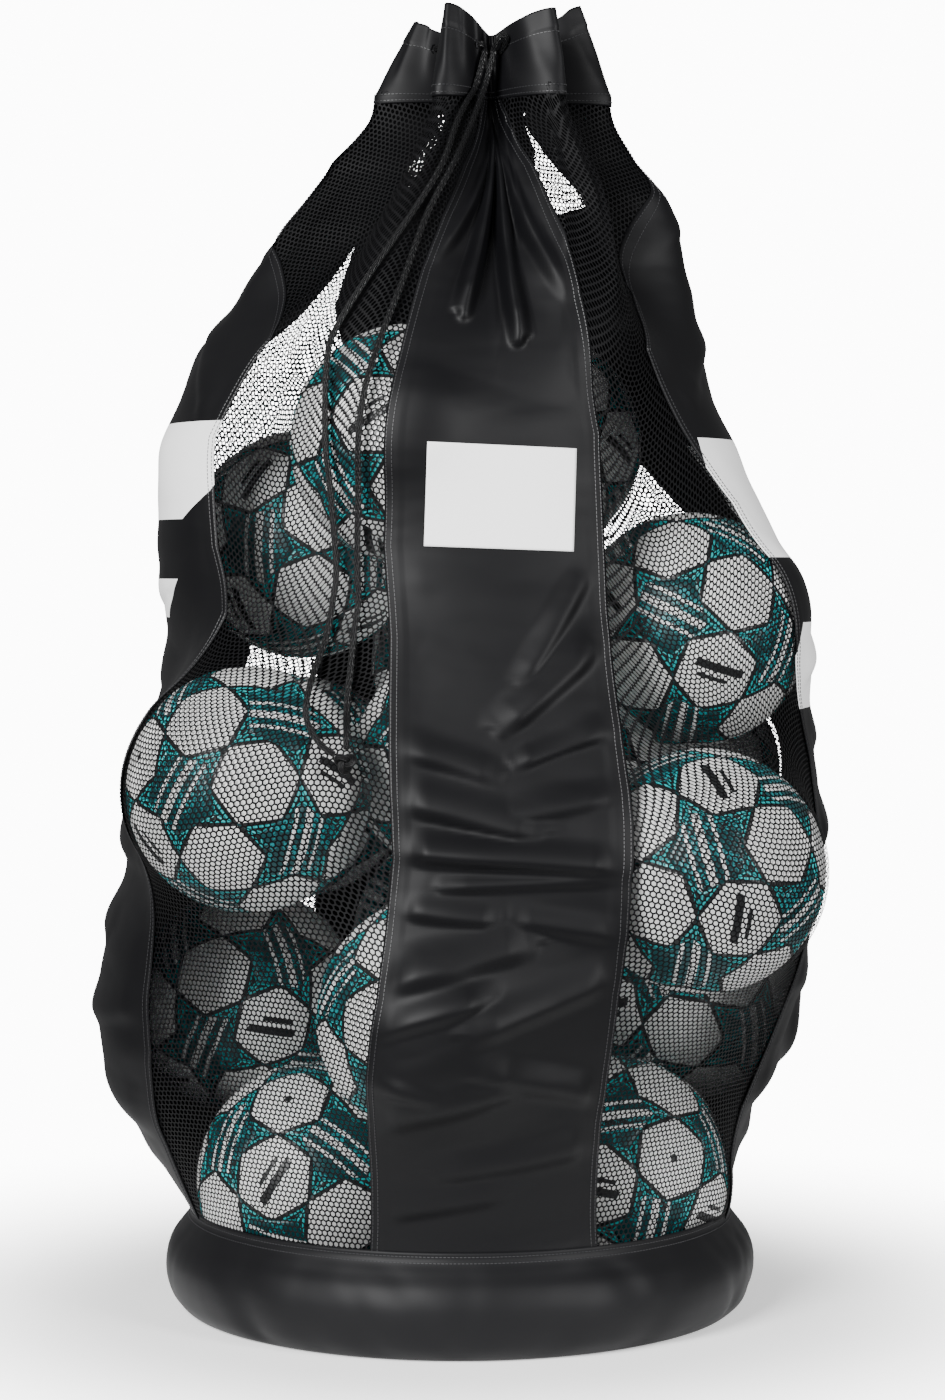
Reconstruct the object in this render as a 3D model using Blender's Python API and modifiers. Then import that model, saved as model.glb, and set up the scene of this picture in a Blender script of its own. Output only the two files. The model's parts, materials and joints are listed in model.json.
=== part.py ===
"""Drawcord mesh ball bag, standing full of footballs.

Round stiff base with a coated band, four cloth panels alternating with four net panels,
a hemmed collar drawn into folds by a round cord through eyelets, and a knotted cord end.
Metres, +Z up, origin on the floor under the middle of the base. The front faces -Y.
Bearings are in degrees from the front (-Y), positive towards +X.
"""
import math

import bmesh
import bpy
import numpy as np
from mathutils import Matrix, Vector

# Driving dimensions
BALL_RADIUS = 0.110
BALL_WALL = 0.003
VALVE_HOLE_RADIUS = 0.004
BASE_RADIUS = 0.255
BASE_THICKNESS = 0.003
SEAM_RADIUS = 0.256          # where the panels are sewn to the base band
SEAM_HEIGHT = 0.090
BAND_BELLY_RADIUS = 0.283
BAND_BELLY_HEIGHT = 0.040
BAND_WALL = 0.0022
PANEL_WALL = 0.0012
BALL_CLEARANCE = 0.0070      # panel's mid surface to a ball
COLLAR_SEAM_HEIGHT = 1.142
COLLAR_WALL = 0.0022
NECK_SHIFT = (0.026, -0.008)  # the drawn neck leans off the base's axis
CORD_DIAMETER = 0.0055
CORD_RING_RADIUS = 0.052
CORD_RING_HEIGHT = 1.186
EYELET_RADIUS = 0.0046
EYELET_WIRE = 0.0011
EYELET_SEAT_RADIUS = 0.0061
GAP = 0.0006
SEAM_GAP = 0.0016             # between two panels' edges
LABEL_SIZE = (0.133, 0.092)
LABEL_CENTRE = (0.037, 0.763)
LABEL_TILT = math.radians(-2.0)
LEAN_HEIGHTS = (0.80, 1.10)   # between these the bag's axis moves over to the neck's
COLLAR_COLUMNS = 56
PANEL_ROWS = 20

# How the loose skin settles over the balls
NECK_START, NECK_BLEND = 0.86, 0.10   # above this the cord, not the balls, gives the form
FRONT_BEARING, FRONT_SHARE = 60.0, 0.15
NET_HOLD, CLOTH_HOLD, NECK_HOLD = 0.03, 0.6, 2.0   # pull towards the hanging shape
HOLD_LENGTH = 0.04
NECK_SLACK = 0.985            # share of the tension that the gathered neck loses
DOWN_TENSION = 0.8            # tension down the bag against that round it
LEVELS = ((64, 40, 400), (128, 80, 300), (256, 160, 200))   # columns, rows and passes of each grid

# Ball centres, from the base up
BALLS = [
    (-0.137, -0.062, 0.126), (0.144, -0.049, 0.130), (0.000, 0.148, 0.118), (-0.017, -0.230, 0.300),
    (-0.210, 0.085, 0.276), (0.222, 0.092, 0.288), (0.004, 0.100, 0.335), (-0.188, -0.200, 0.502),
    (0.011, -0.100, 0.519), (0.218, -0.200, 0.429), (-0.162, 0.152, 0.482), (0.210, 0.165, 0.496),
    (0.022, 0.130, 0.607), (0.216, -0.050, 0.642), (-0.151, 0.055, 0.723), (-0.045, -0.120, 0.813),
    (0.067, 0.100, 0.822),
]

# Seam lines between the panels: bearing at heights, from the base band to the collar
SEAMS = {
    "front_left": [(0.09, -17), (0.20, -15), (0.33, -11.5), (0.45, -10), (0.55, -11.5), (0.64, -13),
                   (0.72, -15.5), (0.86, -14.5), (0.97, -15.5), (1.02, -14), (1.07, -11), (1.14, -2)],
    "front_right": [(0.09, 28), (0.21, 25.5), (0.33, 25), (0.43, 25.5), (0.64, 30), (0.82, 34.5),
                    (0.88, 32), (0.98, 28), (1.07, 23), (1.14, 12)],
    "right_front": [(0.09, 76), (0.20, 70), (0.32, 73), (0.41, 76), (0.52, 76), (0.64, 70), (0.76, 69),
                    (0.90, 54), (0.95, 62), (1.02, 74), (1.07, 84), (1.14, 86)],
    "right_back": [(0.09, 120), (0.50, 118), (0.66, 116), (0.75, 122), (0.84, 138), (0.95, 154),
                   (1.02, 154), (1.06, 130), (1.10, 106), (1.14, 102)],
    "back_right": [(0.09, 161), (0.50, 163), (0.70, 164), (0.85, 160), (0.95, 170), (1.02, 170),
                   (1.06, 154), (1.10, 144), (1.14, 146)],
    "back_left": [(0.09, 204), (0.40, 207), (0.62, 211), (0.74, 208), (0.86, 207), (0.96, 220),
                  (1.02, 222), (1.08, 214), (1.14, 210)],
    "left_back": [(0.09, 234), (0.40, 232), (0.66, 231), (0.77, 250), (0.84, 253), (0.91, 250),
                  (0.98, 236), (1.03, 240), (1.08, 256), (1.14, 260)],
    "left_front": [(0.09, 288), (0.18, 292), (0.26, 298), (0.45, 304), (0.57, 308), (0.66, 310),
                   (0.72, 303), (0.82, 298), (0.91, 303), (0.96, 290), (1.01, 277), (1.14, 275)],
}
# Panels: name, seams at its two edges, columns of the grid
PANELS = [
    ("cloth_panel_front", "front_left", "front_right", 7),
    ("net_panel_front_right", "front_right", "right_front", 8),
    ("cloth_panel_right", "right_front", "right_back", 7),
    ("net_panel_back_right", "right_back", "back_right", 8),
    ("cloth_panel_back", "back_right", "back_left", 7),
    ("net_panel_back_left", "back_left", "left_back", 6),
    ("cloth_panel_left", "left_back", "left_front", 11),
    ("net_panel_front_left", "left_front", "front_left", 10),
]

# Radius of the hanging bag at heights, seen on four sides
PROFILES = {
    "front": [(0.09, .256), (0.20, .300), (0.30, .330), (0.50, .300), (0.65, .240), (0.80, .232),
              (0.90, .215), (1.00, .165), (1.07, .125), (1.14, .105)],
    "right": [(0.09, .256), (0.15, .262), (0.21, .290), (0.30, .330), (0.42, .350), (0.50, .345),
              (0.56, .335), (0.64, .342), (0.75, .300), (0.82, .262), (0.92, .222), (1.00, .190),
              (1.05, .170), (1.08, .142), (1.14, .122)],
    "back": [(0.09, .256), (0.20, .324), (0.30, .354), (0.38, .346), (0.50, .306), (0.70, .262),
             (0.85, .235), (0.95, .200), (1.02, .165), (1.07, .130), (1.14, .110)],
    "left": [(0.09, .256), (0.13, .290), (0.20, .333), (0.26, .355), (0.31, .356), (0.36, .340),
             (0.42, .312), (0.50, .330), (0.60, .270), (0.68, .292), (0.80, .298), (0.89, .268),
             (0.95, .224), (1.02, .186), (1.07, .146), (1.14, .114)],
}
FOLD_TIPS = [-136.0, -84.0, -30.0, 40.0, 84.0, 128.0, 176.0]   # bearings of the neck's folds
FOLD_DEPTHS = [(0.80, 0.0), (0.90, 0.022), (1.00, 0.060), (1.08, 0.075), (1.14, 0.080)]

# Collar: at each fold tip, radius at the seam and at the top edge, and height of the top edge
COLLAR_TIPS = {
    -136.0: (0.104, 0.090, 1.212), -84.0: (0.106, 0.066, 1.214), -30.0: (0.094, 0.072, 1.222),
    40.0: (0.108, 0.094, 1.216), 84.0: (0.116, 0.084, 1.2285), 128.0: (0.104, 0.090, 1.214),
    176.0: (0.104, 0.088, 1.210),
}
COLLAR_VALLEY = (0.031, 0.036, 1.196)
COLLAR_ROWS = 3

# Drawcord: routes of its two strands, top to bottom, and where each bends
STRAND_ROUTES = {
    "strand_left": [
        (0.0240, -0.0625, 1.1800), (0.0150, -0.0725, 1.1460), (0.0065, -0.0875, 1.1290), (-0.0020, -0.1015, 1.1100),
        (-0.0160, -0.1285, 1.0670), (-0.0430, -0.1530, 1.0200), (-0.0825, -0.1780, 0.9600),
        (-0.1110, -0.1900, 0.9120), (-0.1180, -0.2005, 0.8800), (-0.1185, -0.2180, 0.8130),
        (-0.1140, -0.2220, 0.7700), (-0.1085, -0.2310, 0.7000), (-0.1115, -0.2370, 0.6700),
        (-0.1170, -0.2500, 0.6380), (-0.1265, -0.2660, 0.6100), (-0.1325, -0.2830, 0.5830),
        (-0.1310, -0.2900, 0.5660), (-0.1200, -0.2990, 0.5480), (-0.1078, -0.3035, 0.5393)],
    "strand_right": [
        (0.0320, -0.0625, 1.1800), (0.0240, -0.0690, 1.1480), (0.0105, -0.0960, 1.1070),
        (-0.0055, -0.1260, 1.0680), (-0.0290, -0.1510, 1.0200), (-0.0495, -0.1810, 0.9600),
        (-0.0695, -0.2060, 0.9050), (-0.0825, -0.2265, 0.8610), (-0.0885, -0.2350, 0.8180),
        (-0.0890, -0.2310, 0.7660), (-0.0900, -0.2310, 0.7000), (-0.0885, -0.2400, 0.6720),
        (-0.0920, -0.2500, 0.6440), (-0.0950, -0.2640, 0.6100), (-0.0975, -0.2800, 0.5780),
        (-0.0972, -0.2960, 0.5580), (-0.0970, -0.3035, 0.5442)],
}
STRAND_BEND = (-0.2310, 0.7000)   # Y and Z at which both strands bend
BEND_CLEARANCE = 0.0022
CORD_EXIT_BEARING = 5.0
RING_OPENING = 9.0                # bearing from the exit to each end of the cord's ring
KNOT_CENTRE = (-0.0980, -0.3035, 0.5320)
KNOT_RADIUS = 0.0115
LABEL_PROUD = 0.0030
LABEL_WALL = 0.0010


def smooth_step(value, low, high):
    t = np.clip((value - low) / (high - low), 0.0, 1.0)
    return t * t * (3.0 - 2.0 * t)


def fold_shape(bearing):
    """1 on the neck's fold tips, 0 in the valleys between them."""
    tips = np.array(FOLD_TIPS)
    turn = np.mod(bearing - tips[0], 360.0)
    starts = np.append(tips - tips[0], 360.0)
    index = np.searchsorted(starts, turn, side="right") - 1
    share = (turn - starts[index]) / (starts[index + 1] - starts[index])
    return 0.5 + 0.5 * np.cos(2.0 * np.pi * share)


def neck_axis(height):
    lean = smooth_step(height, *LEAN_HEIGHTS)
    return NECK_SHIFT[0] * lean, NECK_SHIFT[1] * lean


def profile(side, height):
    heights, radii = zip(*PROFILES[side])
    return np.interp(height, heights, radii)


def hanging_radius(bearing, height):
    """Radius of the loose bag: an oval through the four side profiles, folded at the neck."""
    c, s = np.cos(np.radians(bearing)), np.sin(np.radians(bearing))
    depth = np.where(c > 0.0, profile("front", height), profile("back", height))
    width = np.where(s > 0.0, profile("right", height), profile("left", height))
    heights, folds = zip(*FOLD_DEPTHS)
    return np.hypot(depth * c, width * s) - np.interp(height, heights, folds) * (1.0 - fold_shape(bearing))


def ball_reach(bearing, height, clearance):
    """Farthest radius at which the line along a bearing still meets a ball grown by the clearance."""
    ax, ay = neck_axis(height)
    dx, dy = np.sin(np.radians(bearing)), -np.cos(np.radians(bearing))
    reach = np.zeros_like(bearing)
    for x, y, z in BALLS:
        along = (x - ax) * dx + (y - ay) * dy
        aside = (x - ax) ** 2 + (y - ay) ** 2 - along ** 2
        room = (BALL_RADIUS + clearance) ** 2 - aside - (height - z) ** 2
        reach = np.maximum(reach, np.where(room > 0.0, along + np.sqrt(np.maximum(room, 0.0)), 0.0))
    return reach


def seam_bearing(seam, height):
    heights, bearings = zip(*SEAMS[seam])
    return np.interp(height, heights, bearings)


def cloth_share(bearing, height):
    """1 on the cloth panels, 0 on the net, with soft edges."""
    share = np.zeros_like(bearing)
    for name, start, end, _ in PANELS:
        if name.startswith("cloth"):
            first, last = seam_bearing(start, height), seam_bearing(end, height)
            half = np.mod(last - first, 360.0) / 2.0
            off = np.abs(np.mod(bearing - first - half + 180.0, 360.0) - 180.0)
            share = np.maximum(share, np.clip((half + 2.0 - off) / 4.0, 0.0, 1.0))
    return share


def settle(bearings, heights, radius, passes):
    """Draw the skin tight over the balls and towards its hanging shape."""
    b, z = np.meshgrid(bearings, heights)
    target = hanging_radius(b, z)
    reach = ball_reach(b, z, BALL_CLEARANCE)
    if radius is None:
        radius = np.maximum(target, reach)
    neck = np.clip((z - NECK_START) / NECK_BLEND, 0.0, 1.0)
    side = np.where(np.abs(b) < FRONT_BEARING, FRONT_SHARE, 1.0)
    stiffness = (NET_HOLD + CLOTH_HOLD * cloth_share(b, z) * side + NECK_HOLD * neck) / HOLD_LENGTH ** 2
    tension = 1.0 - NECK_SLACK * neck
    step_b = math.radians(360.0 / len(bearings))
    step_z = heights[1] - heights[0]
    down = DOWN_TENSION * tension / step_z ** 2
    for _ in range(passes):
        chord = 2.0 * math.cos(step_b) / (1.0 / np.roll(radius, 1, 1) + 1.0 / np.roll(radius, -1, 1))
        across = tension / (radius * step_b) ** 2
        mean = radius.copy()
        mean[1:-1] = (radius[2:] + radius[:-2]) / 2.0
        radius = (across * chord + down * mean + stiffness * target) / (across + down + stiffness)
        radius = np.maximum(radius, reach)
        radius[0], radius[-1] = target[0], target[-1]
    return radius


def sample(bearings, heights, radius, bearing, height):
    """Radius between the grid's points, round the seam at 180 degrees too."""
    column = np.mod(bearing + 180.0, 360.0) / (bearings[1] - bearings[0])
    row = np.clip((height - heights[0]) / (heights[1] - heights[0]), 0.0, len(heights) - 1.001)
    c, r = np.floor(column).astype(int), np.floor(row).astype(int)
    u, v = column - c, row - r
    c, d = c % len(bearings), (c + 1) % len(bearings)
    low = radius[r, c] * (1.0 - u) + radius[r, d] * u
    high = radius[r + 1, c] * (1.0 - u) + radius[r + 1, d] * u
    return low * (1.0 - v) + high * v


def settled_form():
    radius = bearings = heights = None
    for columns, rows, passes in LEVELS:
        new_bearings = np.arange(columns) * 360.0 / columns - 180.0
        new_heights = np.linspace(SEAM_HEIGHT, COLLAR_SEAM_HEIGHT, rows)
        if radius is not None:
            b, z = np.meshgrid(new_bearings, new_heights)
            radius = sample(bearings, heights, radius, b, z)
        bearings, heights = new_bearings, new_heights
        radius = settle(bearings, heights, radius, passes)
    return bearings, heights, radius


def skin_point(form, bearing, height, proud=0.0):
    """Point on the bag's outer skin, or a little proud of it."""
    b, z = np.array([bearing]), np.array([height])
    radius = float(sample(*form, b, z)[0])
    radius = max(radius, float(ball_reach(b, z, BALL_CLEARANCE)[0])) + proud
    ax, ay = neck_axis(height)
    turn = math.radians(bearing)
    return Vector((ax + radius * math.sin(turn), ay - radius * math.cos(turn), height))


def new_collection(name):
    collection = bpy.data.collections.new(name)
    bpy.context.scene.collection.children.link(collection)
    return collection


def material(name, color, roughness, metallic=0.0):
    mat = bpy.data.materials.new(name)
    mat.use_nodes = True
    shader = mat.node_tree.nodes["Principled BSDF"]
    shader.inputs["Base Color"].default_value = (*color, 1.0)
    shader.inputs["Roughness"].default_value = roughness
    shader.inputs["Metallic"].default_value = metallic
    return mat


def finish(obj, collection, mat, smooth=True):
    for old in list(obj.users_collection):
        old.objects.unlink(obj)
    collection.objects.link(obj)
    if mat is not None:
        obj.data.materials.clear()
        obj.data.materials.append(mat)
    if smooth and obj.type == "MESH":
        obj.data.shade_smooth()
    return obj


def object_from(bm, name, collection, mat):
    mesh = bpy.data.meshes.new(name)
    bm.to_mesh(mesh)
    bm.free()
    return finish(bpy.data.objects.new(name, mesh), collection, mat)


def thicken(obj, wall):
    solid = obj.modifiers.new("wall", "SOLIDIFY")
    solid.thickness = wall
    solid.offset = -1.0


def cloth_grid(name, columns, rows, place, wall, collection, mat, joined=False):
    """A sheet from a flat grid: place(across, up) gives each vertex, both running 0 to 1."""
    bm = bmesh.new()
    bmesh.ops.create_grid(bm, x_segments=columns, y_segments=rows, size=0.5)
    for vert in bm.verts:
        vert.co = place(vert.co.x + 0.5, vert.co.y + 0.5)
    if joined:
        bmesh.ops.remove_doubles(bm, verts=bm.verts, dist=0.00001)
    obj = object_from(bm, name, collection, mat)
    thicken(obj, wall)
    return obj


def base_disc(collection, mat):
    bpy.ops.mesh.primitive_cylinder_add(
        vertices=40, radius=BASE_RADIUS, depth=BASE_THICKNESS, location=(0, 0, BASE_THICKNESS / 2))
    obj = bpy.context.object
    obj.name = "base_disc"
    finish(obj, collection, mat, smooth=False)


def base_band(collection, mat):
    belly, top = BAND_BELLY_RADIUS, SEAM_HEIGHT - GAP
    # radius and height down the band's outside, from its seam over the belly to the floor
    outer = [(SEAM_RADIUS + 0.0010, top), (belly - 0.008, 0.068), (belly, BAND_BELLY_HEIGHT),
             (belly - 0.010, 0.014), (SEAM_RADIUS + 0.0035, 0.0)]
    inner = [(r - BAND_WALL, z) for r, z in reversed(outer)]
    bm = bmesh.new()
    verts = [bm.verts.new((r, 0.0, z)) for r, z in outer + inner]
    for start, end in zip(verts, verts[1:] + verts[:1]):
        bm.edges.new((start, end))
    obj = object_from(bm, "base_band", collection, mat)
    screw = obj.modifiers.new("turn", "SCREW")
    screw.steps = screw.render_steps = 40
    screw.use_merge_vertices = True
    screw.merge_threshold = 0.00005


def panels(form, collection, cloth, net):
    for name, first, last, columns in PANELS:
        def place(across, up, first=first, last=last):
            height = SEAM_HEIGHT + GAP + up * (COLLAR_SEAM_HEIGHT - SEAM_HEIGHT - 2.0 * GAP)
            start, end = float(seam_bearing(first, height)), float(seam_bearing(last, height))
            width = (end - start) % 360.0
            spot = skin_point(form, start + across * width, height)
            reach = math.hypot(spot.x - neck_axis(height)[0], spot.y - neck_axis(height)[1])
            margin = math.degrees(SEAM_GAP / 2.0 / reach)
            return skin_point(form, start + margin + across * (width - 2.0 * margin), height)
        mat = cloth if name.startswith("cloth") else net
        cloth_grid(name, columns, PANEL_ROWS, place, PANEL_WALL, collection, mat)


def collar_radius(bearing, up):
    """Radius and top height of the gathered collar at a bearing, up running 0 to 1."""
    tips = sorted(COLLAR_TIPS, key=lambda tip: abs((bearing - tip + 180.0) % 360.0 - 180.0))
    seam, edge, top = COLLAR_TIPS[tips[0]]
    fold = float(fold_shape(np.array([bearing]))[0])
    valley = COLLAR_VALLEY[0] + up * (COLLAR_VALLEY[1] - COLLAR_VALLEY[0])
    tip = seam + up * (edge - seam)
    return valley + (tip - valley) * fold, COLLAR_VALLEY[2] + (top - COLLAR_VALLEY[2]) * fold


def collar_point(bearing, up):
    radius, top = collar_radius(bearing, up)
    turn = math.radians(bearing)
    height = COLLAR_SEAM_HEIGHT + GAP + up * (top - COLLAR_SEAM_HEIGHT - GAP)
    return Vector((NECK_SHIFT[0] + radius * math.sin(turn), NECK_SHIFT[1] - radius * math.cos(turn), height))


def eyelet_bearings():
    """Bearings at which the cord's ring passes through the collar's folds."""
    found = []
    steps = np.linspace(-180.0, 180.0, 1441)
    def gap(bearing):
        _, top = collar_radius(bearing, 0.5)
        up = (CORD_RING_HEIGHT - COLLAR_SEAM_HEIGHT) / (top - COLLAR_SEAM_HEIGHT)
        return collar_radius(bearing, up)[0] - COLLAR_WALL / 2.0 - CORD_RING_RADIUS
    for start, end in zip(steps, steps[1:]):
        if gap(start) * gap(end) < 0.0:
            found.append((start + end) / 2.0)
    return found


def collar(collection, cutters, mat):
    def place(across, up):
        return collar_point(across * 360.0 - 180.0, up)
    obj = cloth_grid("collar", COLLAR_COLUMNS, COLLAR_ROWS, place, COLLAR_WALL, collection, mat, joined=True)
    bpy.ops.mesh.primitive_torus_add(
        major_radius=CORD_RING_RADIUS, minor_radius=EYELET_SEAT_RADIUS, major_segments=56, minor_segments=10,
        location=(NECK_SHIFT[0], NECK_SHIFT[1], CORD_RING_HEIGHT))
    cutter = bpy.context.object
    cutter.name = "eyelet_seat_cutter"
    finish(cutter, cutters, None)
    cutter.hide_render = True
    cutter.display_type = "WIRE"
    cut = obj.modifiers.new("eyelet_seats", "BOOLEAN")
    cut.operation = "DIFFERENCE"
    cut.object = cutter


def eyelets(collection, mat):
    for index, bearing in enumerate(eyelet_bearings()):
        turn = math.radians(bearing)
        centre = Vector((NECK_SHIFT[0] + CORD_RING_RADIUS * math.sin(turn),
                         NECK_SHIFT[1] - CORD_RING_RADIUS * math.cos(turn), CORD_RING_HEIGHT))
        bpy.ops.mesh.primitive_torus_add(
            major_radius=EYELET_RADIUS, minor_radius=EYELET_WIRE, major_segments=8, minor_segments=6)
        ring = bpy.context.object
        ring.name = "eyelet_%02d" % (index + 1)
        ring.matrix_world = (Matrix.Translation(centre) @ Matrix.Rotation(turn, 4, "Z")
                             @ Matrix.Rotation(math.pi / 2.0, 4, "Y"))
        finish(ring, collection, mat)


def smooth_route(points, spacing):
    """Evenly spaced points on a smooth curve through the route's own points."""
    pts = [Vector(p) for p in points]
    pts = [2 * pts[0] - pts[1]] + pts + [2 * pts[-1] - pts[-2]]
    fine = []
    for a, b, c, d in zip(pts, pts[1:], pts[2:], pts[3:]):
        for step in range(24):
            t = step / 24.0
            fine.append(0.5 * (2 * b + (c - a) * t + (2 * a - 5 * b + 4 * c - d) * t * t
                               + (3 * b - a - 3 * c + d) * t ** 3))
    fine.append(pts[-2])
    travelled = [0.0]
    for a, b in zip(fine, fine[1:]):
        travelled.append(travelled[-1] + (b - a).length)
    count = max(2, round(travelled[-1] / spacing))
    places = np.linspace(0.0, travelled[-1], count + 1)
    axes = [np.interp(places, travelled, [p[i] for p in fine]) for i in range(3)]
    return [Vector(p) for p in zip(*axes)]


def cord_tube(name, points, collection, mat):
    data = bpy.data.curves.new(name, "CURVE")
    data.dimensions = "3D"
    data.bevel_depth = CORD_DIAMETER / 2.0
    data.bevel_resolution = 2
    data.use_fill_caps = True
    spline = data.splines.new("POLY")
    spline.points.add(len(points) - 1)
    for target, point in zip(spline.points, points):
        target.co = (*point, 1.0)
    return finish(bpy.data.objects.new(name, data), collection, mat, smooth=False)


def drawcord(collection, mat):
    ring = []
    for step in range(29):
        turn = math.radians(CORD_EXIT_BEARING + RING_OPENING + step / 28.0 * (360.0 - 2.0 * RING_OPENING))
        ring.append(Vector((NECK_SHIFT[0] + CORD_RING_RADIUS * math.sin(turn),
                            NECK_SHIFT[1] - CORD_RING_RADIUS * math.cos(turn), CORD_RING_HEIGHT)))
    cord_tube("drawcord_ring", ring, collection, mat)
    for name, route in STRAND_ROUTES.items():
        split = next(i for i, point in enumerate(route) if point[1:] == STRAND_BEND)
        for part, points in (("_upper", route[:split + 1]), ("_lower", route[split:])):
            line = smooth_route(points, 3.0 * CORD_DIAMETER)
            near = (line[1] - line[0]).normalized() * BEND_CLEARANCE
            far = (line[-2] - line[-1]).normalized() * BEND_CLEARANCE
            if part == "_upper":
                line[-1] = line[-1] + far
            else:
                line[0] = line[0] + near
            cord_tube(name + part, line, collection, mat)
    bpy.ops.mesh.primitive_uv_sphere_add(segments=12, ring_count=8, radius=KNOT_RADIUS, location=KNOT_CENTRE)
    knot = bpy.context.object
    knot.name = "end_knot"
    finish(knot, collection, mat)


def name_label(form, collection, mat):
    width, height = LABEL_SIZE
    def place(across, up):
        x, z = (across - 0.5) * width, (up - 0.5) * height
        c, s = math.cos(LABEL_TILT), math.sin(LABEL_TILT)
        x, z = LABEL_CENTRE[0] + x * c - z * s, LABEL_CENTRE[1] + x * s + z * c
        bearing = 0.0
        for _ in range(12):
            point = skin_point(form, bearing, z, LABEL_PROUD)
            bearing += math.degrees((x - point.x) / 0.25)
        return point
    cloth_grid("name_label", 6, 4, place, LABEL_WALL, collection, mat)


def ball_mesh():
    """A 32-panel ball: a cut icosahedron with every panel raised to the sphere, open at the valve."""
    bm = bmesh.new()
    bmesh.ops.create_icosphere(bm, subdivisions=1, radius=BALL_RADIUS)
    bmesh.ops.bevel(bm, geom=list(bm.verts) + list(bm.edges), offset=100.0 / 3.0, offset_type="PERCENT",
                    affect="VERTICES", segments=1, profile=0.5)
    centres = bmesh.ops.poke(bm, faces=list(bm.faces))["verts"]
    valve = max(centres, key=lambda v: v.co.z)
    length = min(edge.calc_length() for edge in valve.link_edges)
    cut = bmesh.ops.bevel(bm, geom=[valve], offset=VALVE_HOLE_RADIUS / length * 100.0,
                          offset_type="PERCENT", affect="VERTICES", segments=1, profile=0.5)
    hole = [face for face in cut["faces"] if len(face.verts) >= 5 and face.calc_area() < 0.0001]
    bmesh.ops.delete(bm, geom=hole, context="FACES_ONLY")
    for vert in bm.verts:
        vert.co = vert.co.normalized() * BALL_RADIUS
    bmesh.ops.recalc_face_normals(bm, faces=bm.faces)
    mesh = bpy.data.meshes.new("ball")
    bm.to_mesh(mesh)
    bm.free()
    return mesh


def balls(collection, mat):
    mesh = ball_mesh()
    for index, centre in enumerate(BALLS):
        obj = bpy.data.objects.new("ball_%02d" % (index + 1), mesh)
        finish(obj, collection, mat)
        obj.location = centre
        obj.rotation_euler = (0.7 * index, 1.1 * index, 0.4 * index)
        thicken(obj, BALL_WALL)


def build():
    for obj in list(bpy.data.objects):
        bpy.data.objects.remove(obj, do_unlink=True)
    parts = new_collection("mesh_ball_bag")
    cutters = new_collection("cutters")
    form = settled_form()
    base_disc(parts, material("base_board", (0.02, 0.02, 0.022), 0.7))
    base_band(parts, material("coated_band", (0.012, 0.012, 0.014), 0.45))
    panels(form, parts, material("nylon_cloth", (0.012, 0.012, 0.015), 0.45),
           material("net", (0.015, 0.015, 0.016), 0.7))
    collar(parts, cutters, material("collar_cloth", (0.013, 0.013, 0.016), 0.4))
    eyelets(parts, material("eyelet_metal", (0.05, 0.05, 0.055), 0.3, 0.9))
    drawcord(parts, material("cord", (0.01, 0.01, 0.011), 0.8))
    name_label(form, parts, material("label", (0.85, 0.85, 0.85), 0.6))
    balls(parts, material("ball_cover", (0.8, 0.8, 0.8), 0.4))


build()
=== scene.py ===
import json
import math

import bmesh
import bpy
import numpy as np
from mathutils import Matrix, Vector

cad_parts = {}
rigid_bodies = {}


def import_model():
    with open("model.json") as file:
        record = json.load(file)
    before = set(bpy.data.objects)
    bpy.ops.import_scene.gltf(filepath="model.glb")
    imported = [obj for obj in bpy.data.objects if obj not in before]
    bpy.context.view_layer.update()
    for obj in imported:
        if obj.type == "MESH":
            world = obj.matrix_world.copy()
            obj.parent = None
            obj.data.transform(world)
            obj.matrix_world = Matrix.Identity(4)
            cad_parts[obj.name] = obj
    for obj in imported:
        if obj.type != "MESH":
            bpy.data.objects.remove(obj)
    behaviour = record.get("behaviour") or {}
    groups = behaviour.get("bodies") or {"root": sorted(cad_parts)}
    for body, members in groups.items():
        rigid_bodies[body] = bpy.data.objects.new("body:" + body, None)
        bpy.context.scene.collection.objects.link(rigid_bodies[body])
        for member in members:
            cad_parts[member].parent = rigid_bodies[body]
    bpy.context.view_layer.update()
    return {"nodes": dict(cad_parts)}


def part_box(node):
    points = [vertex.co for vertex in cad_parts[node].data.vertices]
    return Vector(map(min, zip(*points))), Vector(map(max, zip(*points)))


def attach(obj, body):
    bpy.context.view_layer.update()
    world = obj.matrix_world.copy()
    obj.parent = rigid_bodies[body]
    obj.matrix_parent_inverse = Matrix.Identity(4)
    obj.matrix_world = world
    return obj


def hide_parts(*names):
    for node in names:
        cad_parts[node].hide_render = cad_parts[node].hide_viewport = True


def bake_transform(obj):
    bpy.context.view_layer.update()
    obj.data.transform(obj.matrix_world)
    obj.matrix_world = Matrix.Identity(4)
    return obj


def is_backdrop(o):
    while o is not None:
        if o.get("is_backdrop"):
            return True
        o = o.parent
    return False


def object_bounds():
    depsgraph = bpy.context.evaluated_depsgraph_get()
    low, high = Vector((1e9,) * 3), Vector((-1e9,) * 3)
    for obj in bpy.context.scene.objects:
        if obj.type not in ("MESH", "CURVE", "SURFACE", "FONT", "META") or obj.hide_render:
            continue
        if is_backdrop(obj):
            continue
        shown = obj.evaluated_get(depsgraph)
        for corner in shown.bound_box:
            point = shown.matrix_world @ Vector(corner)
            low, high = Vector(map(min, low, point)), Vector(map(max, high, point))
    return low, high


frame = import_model()


# Viewpoint. The bag stands upright about three metres away, seen at two thirds of its height
# through a long lens, so its sides stay almost parallel.
eye_place = Vector((0.0119, -3.2, 0.70))
eye_drop = math.radians(2.25)

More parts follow.
